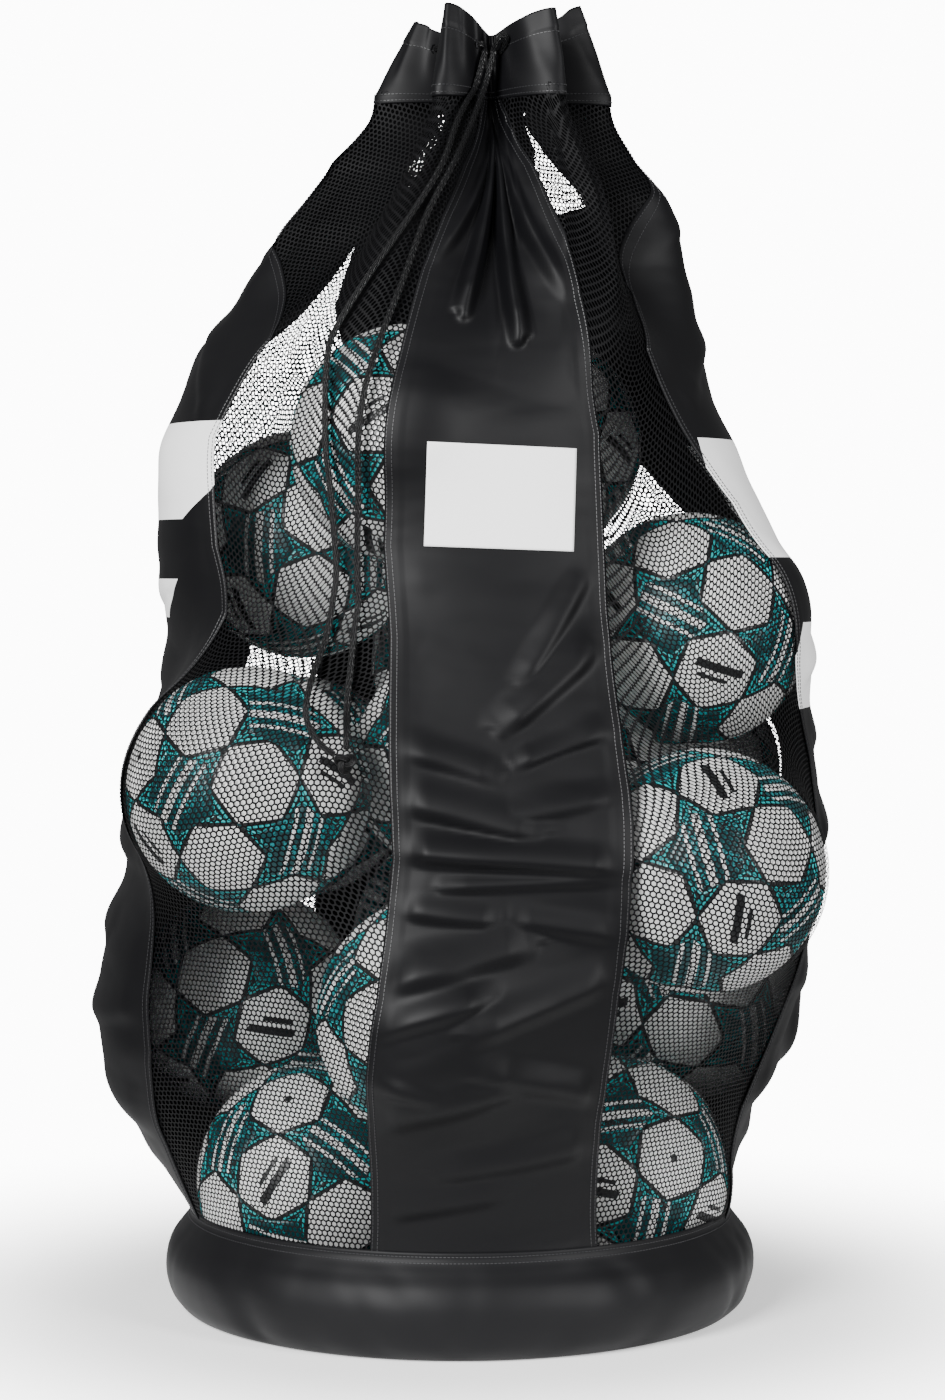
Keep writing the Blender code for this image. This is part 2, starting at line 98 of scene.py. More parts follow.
lens = bpy.data.cameras.new("viewpoint")
lens.lens = 86.4
lens.sensor_width = 36.0
eye = bpy.data.objects.new("viewpoint", lens)
eye.location = eye_place
eye.rotation_euler = (math.pi / 2.0 - eye_drop, 0.0, 0.0)
bpy.context.scene.collection.objects.link(eye)
bpy.context.scene.camera = eye


# Drawcord strands. Two lengths of 5.5 mm round braided polyester cord hang from the gathered mouth
# down the front of the net and meet in one knot. Each is one run of cord with the braid's ridges.
cord_thickness = 0.0055
cord_sides = 12
cord_step = 0.0035
braid_turns = 8
braid_lay = 0.0075
strand_routes = {
    "left": [
        (0.0240, -0.0625, 1.1800), (0.0150, -0.0725, 1.1460), (0.0065, -0.0875, 1.1290),
        (-0.0020, -0.1015, 1.1100), (-0.0160, -0.1285, 1.0670), (-0.0430, -0.1530, 1.0200),
        (-0.0825, -0.1780, 0.9600), (-0.1110, -0.1900, 0.9120), (-0.1180, -0.2005, 0.8800),
        (-0.1185, -0.2180, 0.8130), (-0.1140, -0.2220, 0.7700), (-0.1085, -0.2310, 0.7000),
        (-0.1115, -0.2370, 0.6700), (-0.1170, -0.2500, 0.6380), (-0.1265, -0.2660, 0.6100),
        (-0.1325, -0.2830, 0.5830), (-0.1310, -0.2900, 0.5660), (-0.1200, -0.2990, 0.5480),
        (-0.1078, -0.3035, 0.5393)],
    "right": [
        (0.0320, -0.0625, 1.1800), (0.0240, -0.0690, 1.1480), (0.0105, -0.0960, 1.1070),
        (-0.0055, -0.1260, 1.0680), (-0.0290, -0.1510, 1.0200), (-0.0495, -0.1810, 0.9600),
        (-0.0695, -0.2060, 0.9050), (-0.0825, -0.2265, 0.8610), (-0.0885, -0.2350, 0.8180),
        (-0.0890, -0.2310, 0.7660), (-0.0900, -0.2310, 0.7000), (-0.0885, -0.2400, 0.6720),
        (-0.0920, -0.2500, 0.6440), (-0.0950, -0.2640, 0.6100), (-0.0975, -0.2800, 0.5780),
        (-0.0972, -0.2960, 0.5580), (-0.0970, -0.3035, 0.5442)],
}
strand_bend_height = 0.700
strand_bend_half = 0.012
weld_reach = 0.00001
knot_middle = Vector((-0.0980, -0.3035, 0.5320))
knot_loop = (0.0027, 0.0025, 0.0029)


class Amount:
    """A value in a material that can be used in sums like a number."""

    def __init__(self, finish, socket):
        self.finish = finish
        self.socket = socket

    def work(self, operation, *others):
        sockets = {index: value for index, value in enumerate((self, *others))}
        return self.finish.add("ShaderNodeMath", {"operation": operation}, sockets)

    def __add__(self, other):
        return self.work("ADD", other)

    def __sub__(self, other):
        return self.work("SUBTRACT", other)

    def __mul__(self, other):
        return self.work("MULTIPLY", other)

    def __truediv__(self, other):
        return self.work("DIVIDE", other)

    def __rsub__(self, other):
        return self.finish.add("ShaderNodeMath", {"operation": "SUBTRACT"}, {0: other, 1: self})

    def __rtruediv__(self, other):
        return self.finish.add("ShaderNodeMath", {"operation": "DIVIDE"}, {0: other, 1: self})

    def __neg__(self):
        return self.work("MULTIPLY", -1.0)

    __radd__ = __add__
    __rmul__ = __mul__

    def __mod__(self, other):
        return self.work("FLOORED_MODULO", other)

    def __abs__(self):
        return self.work("ABSOLUTE")

    def above(self, edge):
        return self.work("GREATER_THAN", edge)

    def below(self, edge):
        return self.work("LESS_THAN", edge)

    def most(self, other):
        return self.work("MAXIMUM", other)

    def rise(self, low, high):
        """0 below low, 1 above high, smooth between."""
        return self.finish.add("ShaderNodeMapRange", {"interpolation_type": "SMOOTHSTEP"},
                               {"Value": self, "From Min": low, "From Max": high})


class Finish:
    """A material being built up: add() puts in a node of any type."""

    def __init__(self, name, color, roughness, metallic=0.0):
        self.mat = bpy.data.materials.new(name)
        self.mat.use_nodes = True
        self.tree = self.mat.node_tree
        self.shader = self.tree.nodes["Principled BSDF"]
        self.shader.inputs["Base Color"].default_value = (*color, 1.0)
        self.shader.inputs["Roughness"].default_value = roughness
        self.shader.inputs["Metallic"].default_value = metallic

    def feed(self, socket, value):
        if isinstance(value, Amount):
            self.tree.links.new(value.socket, socket)
        elif socket.type == "RGBA" and len(value) == 3:
            socket.default_value = (*value, 1.0)
        else:
            socket.default_value = value

    def add(self, kind, settings=None, sockets=None, out=0):
        node = self.tree.nodes.new(kind)
        for key, value in (settings or {}).items():
            setattr(node, key, value)
        for key, value in (sockets or {}).items():
            self.feed(node.inputs[key], value)
        return Amount(self, node.outputs[out])

    def uv(self, name):
        """Both parts of a UV map."""
        parts = self.tree.nodes.new("ShaderNodeSeparateXYZ")
        self.feed(parts.inputs[0], self.add("ShaderNodeUVMap", {"uv_map": name}))
        return Amount(self, parts.outputs[0]), Amount(self, parts.outputs[1])

    def place(self, *scale):
        """Place on the piece, stretched by a scale for each axis."""
        spot = self.add("ShaderNodeTexCoord", out=3)
        return self.add("ShaderNodeVectorMath", {"operation": "MULTIPLY"}, {0: spot, 1: scale})

    def noise(self, place, scale, detail=2.0, rough=0.5):
        return self.add("ShaderNodeTexNoise", None,
                        {"Vector": place, "Scale": scale, "Detail": detail, "Roughness": rough})

    def mix(self, share, low, high):
        node = self.tree.nodes.new("ShaderNodeMix")
        node.data_type = "RGBA"
        self.feed(node.inputs[0], share)
        self.feed(node.inputs[6], low)
        self.feed(node.inputs[7], high)
        return Amount(self, node.outputs[2])

    def color(self, value):
        self.feed(self.shader.inputs["Base Color"], value)

    def roughness(self, value):
        self.feed(self.shader.inputs["Roughness"], value)

    def relief(self, height, depth, strength=1.0):
        bump = self.add("ShaderNodeBump", None, {"Height": height, "Distance": depth, "Strength": strength})
        self.feed(self.shader.inputs["Normal"], bump)


def new_piece(name, verts, faces, mat, uv=None, smooth=True):
    """A mesh at the origin from points, faces and, for each point, its UV."""
    mesh = bpy.data.meshes.new(name)
    mesh.from_pydata([tuple(v) for v in verts], [], faces)
    if uv is not None:
        corners = np.zeros(len(mesh.loops), dtype=int)
        mesh.loops.foreach_get("vertex_index", corners)
        layer = mesh.uv_layers.new(name="flat")
        layer.data.foreach_set("uv", np.asarray(uv, float)[corners].ravel())
    if smooth:
        mesh.shade_smooth()
    mesh.materials.append(mat)
    piece = bpy.data.objects.new(name, mesh)
    bpy.context.scene.collection.objects.link(piece)
    return piece


def smooth_route(points, spacing):
    """Evenly spaced points on a smooth curve through the route's own points."""
    pts = [Vector(p) for p in points]
    pts = [2 * pts[0] - pts[1]] + pts + [2 * pts[-1] - pts[-2]]
    fine = []
    for a, b, c, d in zip(pts, pts[1:], pts[2:], pts[3:]):
        for step in range(24):
            t = step / 24.0
            fine.append(0.5 * (2 * b + (c - a) * t + (2 * a - 5 * b + 4 * c - d) * t * t
                               + (3 * b - a - 3 * c + d) * t ** 3))
    fine.append(pts[-2])
    travelled = [0.0]
    for a, b in zip(fine, fine[1:]):
        travelled.append(travelled[-1] + (b - a).length)
    count = max(2, round(travelled[-1] / spacing))
    places = np.linspace(0.0, travelled[-1], count + 1)
    axes = [np.interp(places, travelled, [p[i] for p in fine]) for i in range(3)]
    return [Vector(p) for p in zip(*axes)]


def welded(piece):
    """Join the points that meet where a strip closes on itself."""
    bm = bmesh.new()
    bm.from_mesh(piece.data)
    bmesh.ops.remove_doubles(bm, verts=bm.verts, dist=weld_reach)
    bm.to_mesh(piece.data)
    bm.free()
    return piece


def cord_run(name, line, mat):
    """A closed-ended tube of cord along a line, its UV turning once round and running in metres."""
    verts = []
    uv = []
    faces = []
    side = Vector((1.0, 0.0, 0.0))
    run = 0.0
    columns = cord_sides + 1
    for index, spot in enumerate(line):
        ahead = line[min(index + 1, len(line) - 1)] - line[max(index - 1, 0)]
        ahead.normalize()
        side = (side - ahead * side.dot(ahead)).normalized()
        across = ahead.cross(side)
        if index:
            run += (spot - line[index - 1]).length
        for turn in range(columns):
            angle = 2.0 * math.pi * turn / cord_sides
            verts.append(spot + (side * math.cos(angle) + across * math.sin(angle)) * (cord_thickness / 2.0))
            uv.append((turn / cord_sides, run))
    for ring in range(len(line) - 1):
        for turn in range(cord_sides):
            a = ring * columns + turn
            faces.append((a, a + 1, a + columns + 1, a + columns))
    last = (len(line) - 1) * columns
    faces.append(tuple(range(cord_sides - 1, -1, -1)))
    faces.append(tuple(range(last, last + cord_sides)))
    return welded(new_piece(name, verts, faces, mat, uv))


cord_finish = Finish("cord", (0.010, 0.010, 0.011), 0.34)
cord_finish.shader.inputs["Specular IOR Level"].default_value = 0.22
round_cord, along_cord = cord_finish.uv("flat")
lay = along_cord / braid_lay
one_way = ((round_cord * braid_turns + lay) * (2.0 * math.pi)).work("SINE")
other_way = ((round_cord * braid_turns - lay) * (2.0 * math.pi)).work("SINE")
braid = one_way.most(other_way)
cord_finish.relief(braid, 0.0006, 0.9)
# Painted shade: the cord's colour is darker in the braid's grooves and lighter on its ridges, following the
# relief height.
cord_finish.color(cord_finish.mix(braid.rise(-0.2, 1.0), (0.002, 0.002, 0.0022), (0.006, 0.006, 0.0065)))

knot_line = []
for step in range(97):
    turn = 2.0 * math.pi * step / 96.0
    knot_line.append(knot_middle + Vector((
        knot_loop[0] * (math.sin(turn) + 2.0 * math.sin(2.0 * turn)),
        -knot_loop[2] * math.sin(3.0 * turn),
        knot_loop[1] * (math.cos(turn) - 2.0 * math.cos(2.0 * turn)))))
knot = cord_run("end_knot_tied", knot_line, cord_finish.mat)
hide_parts("end_knot")
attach(knot, "cord_lower")

for side_name, route in strand_routes.items():
    line = smooth_route(route, cord_step)
    strand = cord_run("strand_" + side_name, line, cord_finish.mat)
    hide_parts("strand_%s_upper" % side_name, "strand_%s_lower" % side_name)
    bend = min(line, key=lambda point: abs(point.z - strand_bend_height))
    reach = Vector((0.0, 0.0, strand_bend_half))
    bend + reach
    bend - reach
    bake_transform(strand)


# Drawcord round the mouth. The same cord runs through the collar's eyelets in one ring, and a small
# bight of it stands up out of the gathered mouth beside the place where the two strands leave.
neck_lean = (0.026, -0.008)
ring_radius = 0.052
ring_height = 1.186
ring_opening = 9.0
ring_exit = 5.0

ring_line = []
for step in range(121):
    turn = math.radians(ring_exit + ring_opening + step / 120.0 * (360.0 - 2.0 * ring_opening))
    ring_line.append(Vector((neck_lean[0] + ring_radius * math.sin(turn),
                             neck_lean[1] - ring_radius * math.cos(turn), ring_height)))
ring = cord_run("drawcord_ring_braided", ring_line, cord_finish.mat)
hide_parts("drawcord_ring")
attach(ring, "bag")

bight_points = [(0.030, -0.060, 1.176), (0.034, -0.066, 1.186), (0.039, -0.069, 1.193),
                (0.043, -0.067, 1.190), (0.041, -0.061, 1.183), (0.036, -0.055, 1.178)]
bight = cord_run("drawcord_bight", smooth_route(bight_points, cord_step / 2.0), cord_finish.mat)
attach(bight, "bag")


# Balls. Seventeen match balls of 220 mm, each of 32 bonded panels: white six-sided ones whose corners
# carry small dark triangles, and five-sided ones printed in teal with light stripes, and one valve.
ball_count = 17
ball_radius = 0.110
panel_steps = 6
panel_rings = (0.0, 0.30, 0.58, 0.80, 0.93, 0.975, 1.0)
seam_depth = {0.975: 0.0005, 1.0: 0.0014}
valve_sink = 0.0020
valve_radius = 0.0038
white_cover = (0.92, 0.92, 0.91)
black_print = (0.010, 0.011, 0.012)
teal_print = (0.0, 0.27, 0.30)
bright_teal = (0.0, 0.45, 0.47)
deep_teal = (0.0, 0.055, 0.062)

six_distance = 2.26728 / 2.47802
five_distance = 2.32744 / 2.47802
panel_edge = ball_radius / 2.47802
six_apothem = panel_edge * math.cos(math.pi / 6.0) / six_distance
five_apothem = panel_edge / (2.0 * math.tan(math.pi / 5.0)) / five_distance


def ball_panels():
    """Corner points of the 32 panels in order round each, on a ball of radius 1."""
    bm = bmesh.new()
    bmesh.ops.create_icosphere(bm, subdivisions=1, radius=1.0)
    bmesh.ops.bevel(bm, geom=list(bm.verts) + list(bm.edges), offset=100.0 / 3.0, offset_type="PERCENT",
                    affect="VERTICES", segments=1, profile=0.5)
    bmesh.ops.recalc_face_normals(bm, faces=bm.faces)
    panels = [[v.co.copy() for v in face.verts] for face in bm.faces]
    bm.free()
    size = panels[0][0].length
    return [[corner / size for corner in panel] for panel in panels]


def ball_cover(mat):
    """The ball's cover: every panel a fan of rings out to its sunk seam, with its own flat UV."""
    verts = []
    faces = []
    flat = []
    mark = []
    valve_panel = max((p for p in ball_panels() if len(p) == 6), key=lambda p: sum(c.z for c in p))
    for number, panel in enumerate(ball_panels()):
        sides = len(panel)
        middle = sum(panel, Vector()) / sides
        out = middle.normalized()
        first = (panel[0] - middle).normalized()
        second = out.cross(first)
        sink_middle = valve_sink if (middle - sum(valve_panel, Vector()) / 6.0).length < 0.001 else 0.0
        for index in range(sides):
            start, end = panel[index], panel[(index + 1) % sides]
            base = len(verts)
            for ring_share in panel_rings:
                for step in range(panel_steps + 1):
                    corner = start + (end - start) * (step / panel_steps)
                    spot = middle + (corner - middle) * ring_share
                    plane = spot * (ball_radius / middle.length)
                    height = ball_radius - seam_depth.get(ring_share, 0.0)
                    if ring_share == 0.0:
                        height -= sink_middle
                    verts.append(spot.normalized() * height)
                    flat.append((plane.dot(first), plane.dot(second)))
                    mark.append((sides, number + 0.5 if sink_middle == 0.0 else -0.5))
            width = panel_steps + 1
            for ring_index in range(len(panel_rings) - 1):
                for step in range(panel_steps):
                    a = base + ring_index * width + step
                    quad = (a, a + width, a + width + 1, a + 1)
                    faces.append(quad if ring_index else (a, a + width, a + width + 1))
    cover = new_piece("ball_cover_pattern", verts, faces, mat, flat)
    corners = np.zeros(len(cover.data.loops), dtype=int)
    cover.data.loops.foreach_get("vertex_index", corners)
    layer = cover.data.uv_layers.new(name="panel")
    layer.data.foreach_set("uv", np.asarray(mark, float)[corners].ravel())
    bm = bmesh.new()
    bm.from_mesh(cover.data)
    bmesh.ops.remove_doubles(bm, verts=bm.verts, dist=0.00002)
    bmesh.ops.recalc_face_normals(bm, faces=bm.faces)
    bm.to_mesh(cover.data)
    bm.free()
    cover.data.shade_smooth()
    return cover


ball_finish = Finish("ball_cover", white_cover, 0.38)
u, v = ball_finish.uv("flat")
sides, number = ball_finish.uv("panel")
is_six = sides.above(5.5)
sector = 2.0 * math.pi / sides
angle = v.work("ARCTAN2", u)
reach = (u * u + v * v).work("SQRT")
to_corner = reach * (((angle + sector * 0.5) % sector) - sector * 0.5).work("COSINE")
to_edge = reach * ((angle % sector) - sector * 0.5).work("COSINE")
apothem = is_six * (six_apothem - five_apothem) + five_apothem
inner = apothem * (sector * 0.5).work("COSINE") - to_corner
seam_gap = apothem - to_edge
speckle = ball_finish.noise(ball_finish.place(1.0, 1.0, 1.0), 420.0, 3.0, 0.7)
patches = ball_finish.noise(ball_finish.place(1.0, 1.0, 1.0), 46.0, 2.0, 0.6)
slant = number * 2.4
along = u * slant.work("COSINE") + v * slant.work("SINE")
stripe_run = (along + 0.0075) % 0.0150
stripes = stripe_run.below(0.0078) * (abs(along + 0.0036).below(0.0150))
mosaic = ball_finish.mix(patches.rise(0.47, 0.50), teal_print, deep_teal)
mosaic = ball_finish.mix((speckle - patches * 0.6).above(0.262), mosaic, black_print)
mosaic = ball_finish.mix(stripes * speckle.below(0.56), mosaic, white_cover)
triangle = -inner
corner_color = ball_finish.mix(triangle.above(0.0030) * triangle.below(0.0052), black_print, bright_teal)
corner_color = ball_finish.mix(triangle.above(0.0060) * seam_gap.below(0.0022), corner_color, bright_teal)
bar_panel = (number % 4.0).below(1.0) * number.above(0.0)
bars = abs(v - 0.0045).below(0.0040) * abs(u - v * 0.4).below(0.0240)
short_bars = abs(v + 0.0065).below(0.0020) * abs(u - v * 0.4).below(0.0150)
printed = bars.most(short_bars) * bar_panel * is_six
white_part = ball_finish.mix(printed, white_cover, black_print)
valve_spot = number.below(0.0) * reach.below(valve_radius)
white_part = ball_finish.mix(valve_spot, white_part, black_print)
face_color = ball_finish.mix(is_six, mosaic, white_part)
whole = ball_finish.mix(inner.above(0.0).most(1.0 - is_six), corner_color, face_color)
whole = ball_finish.mix(abs(inner).below(0.0013) * is_six, whole, black_print)
whole = ball_finish.mix(seam_gap.below(0.0006), whole, deep_teal)
ball_finish.color(whole)
grain = ball_finish.noise(ball_finish.place(1.0, 1.0, 1.0), 900.0, 1.0)
ball_finish.relief(grain, 0.0003, 0.35)
ball_finish.shader.inputs["Specular IOR Level"].default_value = 0.45

cover_pattern = ball_cover(ball_finish.mat)
ball_middles = []
for index in range(ball_count):
    node = "ball_%02d" % (index + 1)
    low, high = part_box(node)
    middle = (low + high) / 2.0
    ball_middles.append(middle)
    turned = Matrix.Rotation(0.4 * index, 4, "Z") @ Matrix.Rotation(1.1 * index, 4, "Y")
    turned = turned @ Matrix.Rotation(0.7 * index, 4, "X")
    mesh = cover_pattern.data.copy()
    mesh.transform(Matrix.Translation(middle) @ turned)
    ball = bpy.data.objects.new(node + "_cover", mesh)
    bpy.context.scene.collection.objects.link(ball)
    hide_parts(node)
    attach(ball, "bag")
bpy.data.objects.remove(cover_pattern)


# The bag's skin. Cloth and net panels sewn edge to edge hang from the drawn neck and lie tight over the
# balls. One loose form is settled over the balls first, and every panel is then cut from it.
base_seam = 0.090
collar_seam = 1.142
skin_room = 0.0040
lean_heights = (0.80, 1.10)
neck_start = 0.86
neck_blend = 0.10
front_bearing = 60.0
front_share = 0.15
net_hold = 0.03
cloth_hold = 0.6
neck_hold = 2.0
hold_length = 0.04
neck_slack = 0.985
down_tension = 0.8
fold_tips = [-136.0, -84.0, -30.0, 40.0, 84.0, 128.0, 176.0]
fold_depths = [(0.80, 0.0), (0.90, 0.022), (1.00, 0.060), (1.08, 0.075), (1.14, 0.080)]
form_levels = ((64, 40, 400), (128, 80, 300), (256, 160, 200), (512, 320, 60))
seam_lines = {
    "front_left": [(0.09, -17), (0.20, -15), (0.33, -11.5), (0.45, -10), (0.55, -11.5), (0.64, -13),
                   (0.72, -15.5), (0.86, -14.5), (0.97, -15.5), (1.02, -14), (1.07, -11), (1.14, -2)],
    "front_right": [(0.09, 28), (0.21, 25.5), (0.33, 25), (0.43, 25.5), (0.64, 30), (0.82, 34.5),
                    (0.88, 32), (0.98, 28), (1.07, 23), (1.14, 12)],
    "right_front": [(0.09, 76), (0.20, 70), (0.32, 73), (0.41, 76), (0.52, 76), (0.64, 70), (0.76, 69),
                    (0.90, 54), (0.95, 62), (1.02, 74), (1.07, 84), (1.14, 86)],
    "right_back": [(0.09, 120), (0.50, 118), (0.66, 116), (0.75, 122), (0.84, 138), (0.95, 154),
                   (1.02, 154), (1.06, 130), (1.10, 106), (1.14, 102)],
    "back_right": [(0.09, 161), (0.50, 163), (0.70, 164), (0.85, 160), (0.95, 170), (1.02, 170),
                   (1.06, 154), (1.10, 144), (1.14, 146)],
    "back_left": [(0.09, 204), (0.40, 207), (0.62, 211), (0.74, 208), (0.86, 207), (0.96, 220),
                  (1.02, 222), (1.08, 214), (1.14, 210)],
    "left_back": [(0.09, 234), (0.40, 232), (0.66, 231), (0.77, 250), (0.84, 253), (0.91, 250),
                  (0.98, 236), (1.03, 240), (1.08, 256), (1.14, 260)],
    "left_front": [(0.09, 288), (0.18, 292), (0.26, 298), (0.45, 304), (0.57, 308), (0.66, 310),
                   (0.72, 303), (0.82, 298), (0.91, 303), (0.96, 290), (1.01, 277), (1.14, 275)],
}
cloth_panels = {
    "cloth_panel_front": ("front_left", "front_right"),
    "cloth_panel_right": ("right_front", "right_back"),
    "cloth_panel_back": ("back_right", "back_left"),
    "cloth_panel_left": ("left_back", "left_front"),
}
net_panels = {
    "net_panel_front_right": ("front_right", "right_front"),
    "net_panel_back_right": ("right_back", "back_right"),
    "net_panel_back_left": ("back_left", "left_back"),
    "net_panel_front_left": ("left_front", "front_left"),
}
side_profiles = {
    "front": [(0.09, .256), (0.20, .300), (0.30, .330), (0.50, .300), (0.65, .240), (0.80, .232),
              (0.90, .215), (1.00, .165), (1.07, .125), (1.14, .105)],
    "right": [(0.09, .256), (0.15, .262), (0.21, .290), (0.30, .330), (0.42, .350), (0.50, .345),
              (0.56, .335), (0.64, .342), (0.75, .300), (0.82, .262), (0.92, .222), (1.00, .190),
              (1.05, .170), (1.08, .142), (1.14, .122)],
    "back": [(0.09, .256), (0.20, .324), (0.30, .354), (0.38, .346), (0.50, .306), (0.70, .262),
             (0.85, .235), (0.95, .200), (1.02, .165), (1.07, .130), (1.14, .110)],
    "left": [(0.09, .256), (0.13, .290), (0.20, .333), (0.26, .355), (0.31, .356), (0.36, .340),
             (0.42, .312), (0.50, .330), (0.60, .270), (0.68, .292), (0.80, .298), (0.89, .268),
             (0.95, .224), (1.02, .186), (1.07, .146), (1.14, .114)],
}
collar_tips = {
    -136.0: (0.104, 0.090, 1.212), -84.0: (0.106, 0.066, 1.214), -30.0: (0.094, 0.072, 1.222),
    40.0: (0.108, 0.094, 1.216), 84.0: (0.116, 0.084, 1.2285), 128.0: (0.104, 0.090, 1.214),
    176.0: (0.104, 0.088, 1.210),
}
collar_valley = (0.031, 0.036, 1.196)


def smooth_step(value, low, high):
    t = np.clip((value - low) / (high - low), 0.0, 1.0)
    return t * t * (3.0 - 2.0 * t)


def along_line(points, height):
    heights, values = zip(*points)
    return np.interp(height, heights, values)


def fold_shape(bearing):
    """1 on the neck's fold tips, 0 in the valleys between them."""
    tips = np.array(fold_tips)
    turn = np.mod(bearing - tips[0], 360.0)
    starts = np.append(tips - tips[0], 360.0)
    index = np.searchsorted(starts, turn, side="right") - 1
    share = (turn - starts[index]) / (starts[index + 1] - starts[index])
    return 0.5 + 0.5 * np.cos(2.0 * np.pi * share)


def neck_axis(height):
    lean = smooth_step(height, *lean_heights)
    return neck_lean[0] * lean, neck_lean[1] * lean


def hanging_radius(bearing, height):
    """Radius of the loose bag: an oval through the four side profiles, folded at the neck."""
    c, s = np.cos(np.radians(bearing)), np.sin(np.radians(bearing))
    depth = np.where(c > 0.0, along_line(side_profiles["front"], height),
                     along_line(side_profiles["back"], height))
    width = np.where(s > 0.0, along_line(side_profiles["right"], height),
                     along_line(side_profiles["left"], height))
    return np.hypot(depth * c, width * s) - along_line(fold_depths, height) * (1.0 - fold_shape(bearing))


def ball_reach(bearing, height, room):
    """Farthest radius at which the line along a bearing still meets a ball grown by the room."""
    ax, ay = neck_axis(height)
    dx, dy = np.sin(np.radians(bearing)), -np.cos(np.radians(bearing))
    reach = np.zeros_like(bearing)
    for middle in ball_middles:
        along = (middle.x - ax) * dx + (middle.y - ay) * dy
        aside = (middle.x - ax) ** 2 + (middle.y - ay) ** 2 - along ** 2
        left = (ball_radius + room) ** 2 - aside - (height - middle.z) ** 2
        reach = np.maximum(reach, np.where(left > 0.0, along + np.sqrt(np.maximum(left, 0.0)), 0.0))
    return reach


def cloth_share(bearing, height):
    """1 on the cloth panels, 0 on the net, with soft edges."""
    share = np.zeros_like(bearing)
    for first, last in cloth_panels.values():
        start = along_line(seam_lines[first], height)
        half = np.mod(along_line(seam_lines[last], height) - start, 360.0) / 2.0
        off = np.abs(np.mod(bearing - start - half + 180.0, 360.0) - 180.0)
        share = np.maximum(share, np.clip((half + 2.0 - off) / 4.0, 0.0, 1.0))
    return share


def settle(bearings, heights, radius, passes):
    """Draw the skin tight over the balls and towards its hanging shape."""
    b, z = np.meshgrid(bearings, heights)
    target = hanging_radius(b, z)
    reach = ball_reach(b, z, skin_room)
    if radius is None:
        radius = np.maximum(target, reach)
    neck = np.clip((z - neck_start) / neck_blend, 0.0, 1.0)
    side = np.where(np.abs(b) < front_bearing, front_share, 1.0)
    hold = (net_hold + cloth_hold * cloth_share(b, z) * side + neck_hold * neck) / hold_length ** 2
    tension = 1.0 - neck_slack * neck
    step_b = math.radians(360.0 / len(bearings))
    down = down_tension * tension / (heights[1] - heights[0]) ** 2
    for _ in range(passes):
        chord = 2.0 * math.cos(step_b) / (1.0 / np.roll(radius, 1, 1) + 1.0 / np.roll(radius, -1, 1))
        across = tension / (radius * step_b) ** 2
        mean = radius.copy()
        mean[1:-1] = (radius[2:] + radius[:-2]) / 2.0
        radius = (across * chord + down * mean + hold * target) / (across + down + hold)
        radius = np.maximum(radius, reach)
        radius[0], radius[-1] = target[0], target[-1]
    return radius


def between(form, bearing, height):
    """Radius between the form's grid points, round the back too."""
    bearings, heights, radius = form
    column = np.mod(bearing + 180.0, 360.0) / (bearings[1] - bearings[0])
    row = np.clip((height - heights[0]) / (heights[1] - heights[0]), 0.0, len(heights) - 1.001)
    c, r = np.floor(column).astype(int), np.floor(row).astype(int)
    u, v = column - c, row - r
    c, d = c % len(bearings), (c + 1) % len(bearings)
    low = radius[r, c] * (1.0 - u) + radius[r, d] * u
    high = radius[r + 1, c] * (1.0 - u) + radius[r + 1, d] * u
    return low * (1.0 - v) + high * v


form = None
for columns, rows, passes in form_levels:
    level_bearings = np.arange(columns) * 360.0 / columns - 180.0
    level_heights = np.linspace(base_seam, collar_seam, rows)
    start_radius = None
    if form is not None:
        start_radius = between(form, *np.meshgrid(level_bearings, level_heights))
    form = (level_bearings, level_heights, settle(level_bearings, level_heights, start_radius, passes))


def collar_radius(bearing, up):
    """Radius and top height of the gathered collar, up running 0 at its seam to 1 at its top edge."""
    tips = np.array(sorted(collar_tips))
    off = np.abs(np.mod(bearing[..., None] - tips + 180.0, 360.0) - 180.0)
    nearest = np.array([collar_tips[tip] for tip in tips])[off.argmin(-1)]
    seam, edge, top = np.moveaxis(nearest, -1, 0)
    fold = fold_shape(bearing)
    valley = collar_valley[0] + up * (collar_valley[1] - collar_valley[0])
    tip = seam + up * (edge - seam)
    return valley + (tip - valley) * fold, collar_valley[2] + (top - collar_valley[2]) * fold


gather_seed = np.random.default_rng(11)
gather_bearings = gather_seed.uniform(-180.0, 180.0, 34)
gather_starts = gather_seed.uniform(0.84, 1.02, 34)
gather_widths = gather_seed.uniform(2.6, 5.5, 34)
gather_drifts = gather_seed.uniform(-14.0, 14.0, 34)
gather_rise = 0.0085
gather_fade = 0.10
gather_run = 0.3


def gathers(bearing, height):
    """Small pleats that run down from the drawn neck and fade out."""
    lift = np.zeros_like(bearing)
    for middle, start, width, drift in zip(gather_bearings, gather_starts, gather_widths, gather_drifts):
        line = middle + drift * (collar_seam - height) / gather_run
        off = np.abs(np.mod(bearing - line + 180.0, 360.0) - 180.0) / width
        crest = np.maximum(0.0, 1.0 - off) ** 1.4
        lift = np.maximum(lift, crest * smooth_step(height, start, start + gather_fade))
    lift = lift * (1.0 - 0.85 * cloth_share(bearing, height))
    return lift * gather_rise * (1.0 - 0.6 * smooth_step(height, 1.08, collar_seam))


def skin(bearing, height, lift=0.0):
    """Points on the bag's outside, as (rows, columns, 3)."""
    bearing, height = np.broadcast_arrays(np.asarray(bearing, float), np.asarray(height, float))
    radius = np.maximum(between(form, bearing, height), ball_reach(bearing, height, skin_room))
    rim, _ = collar_radius(bearing, 0.0 * bearing)
    joined = smooth_step(height, 1.075, collar_seam)
    radius = radius * (1.0 - joined) + rim * joined + gathers(bearing, height) + lift
    ax, ay = neck_axis(height)
    turn = np.radians(bearing)
    return np.stack([ax + radius * np.sin(turn), ay - radius * np.cos(turn), height], -1)


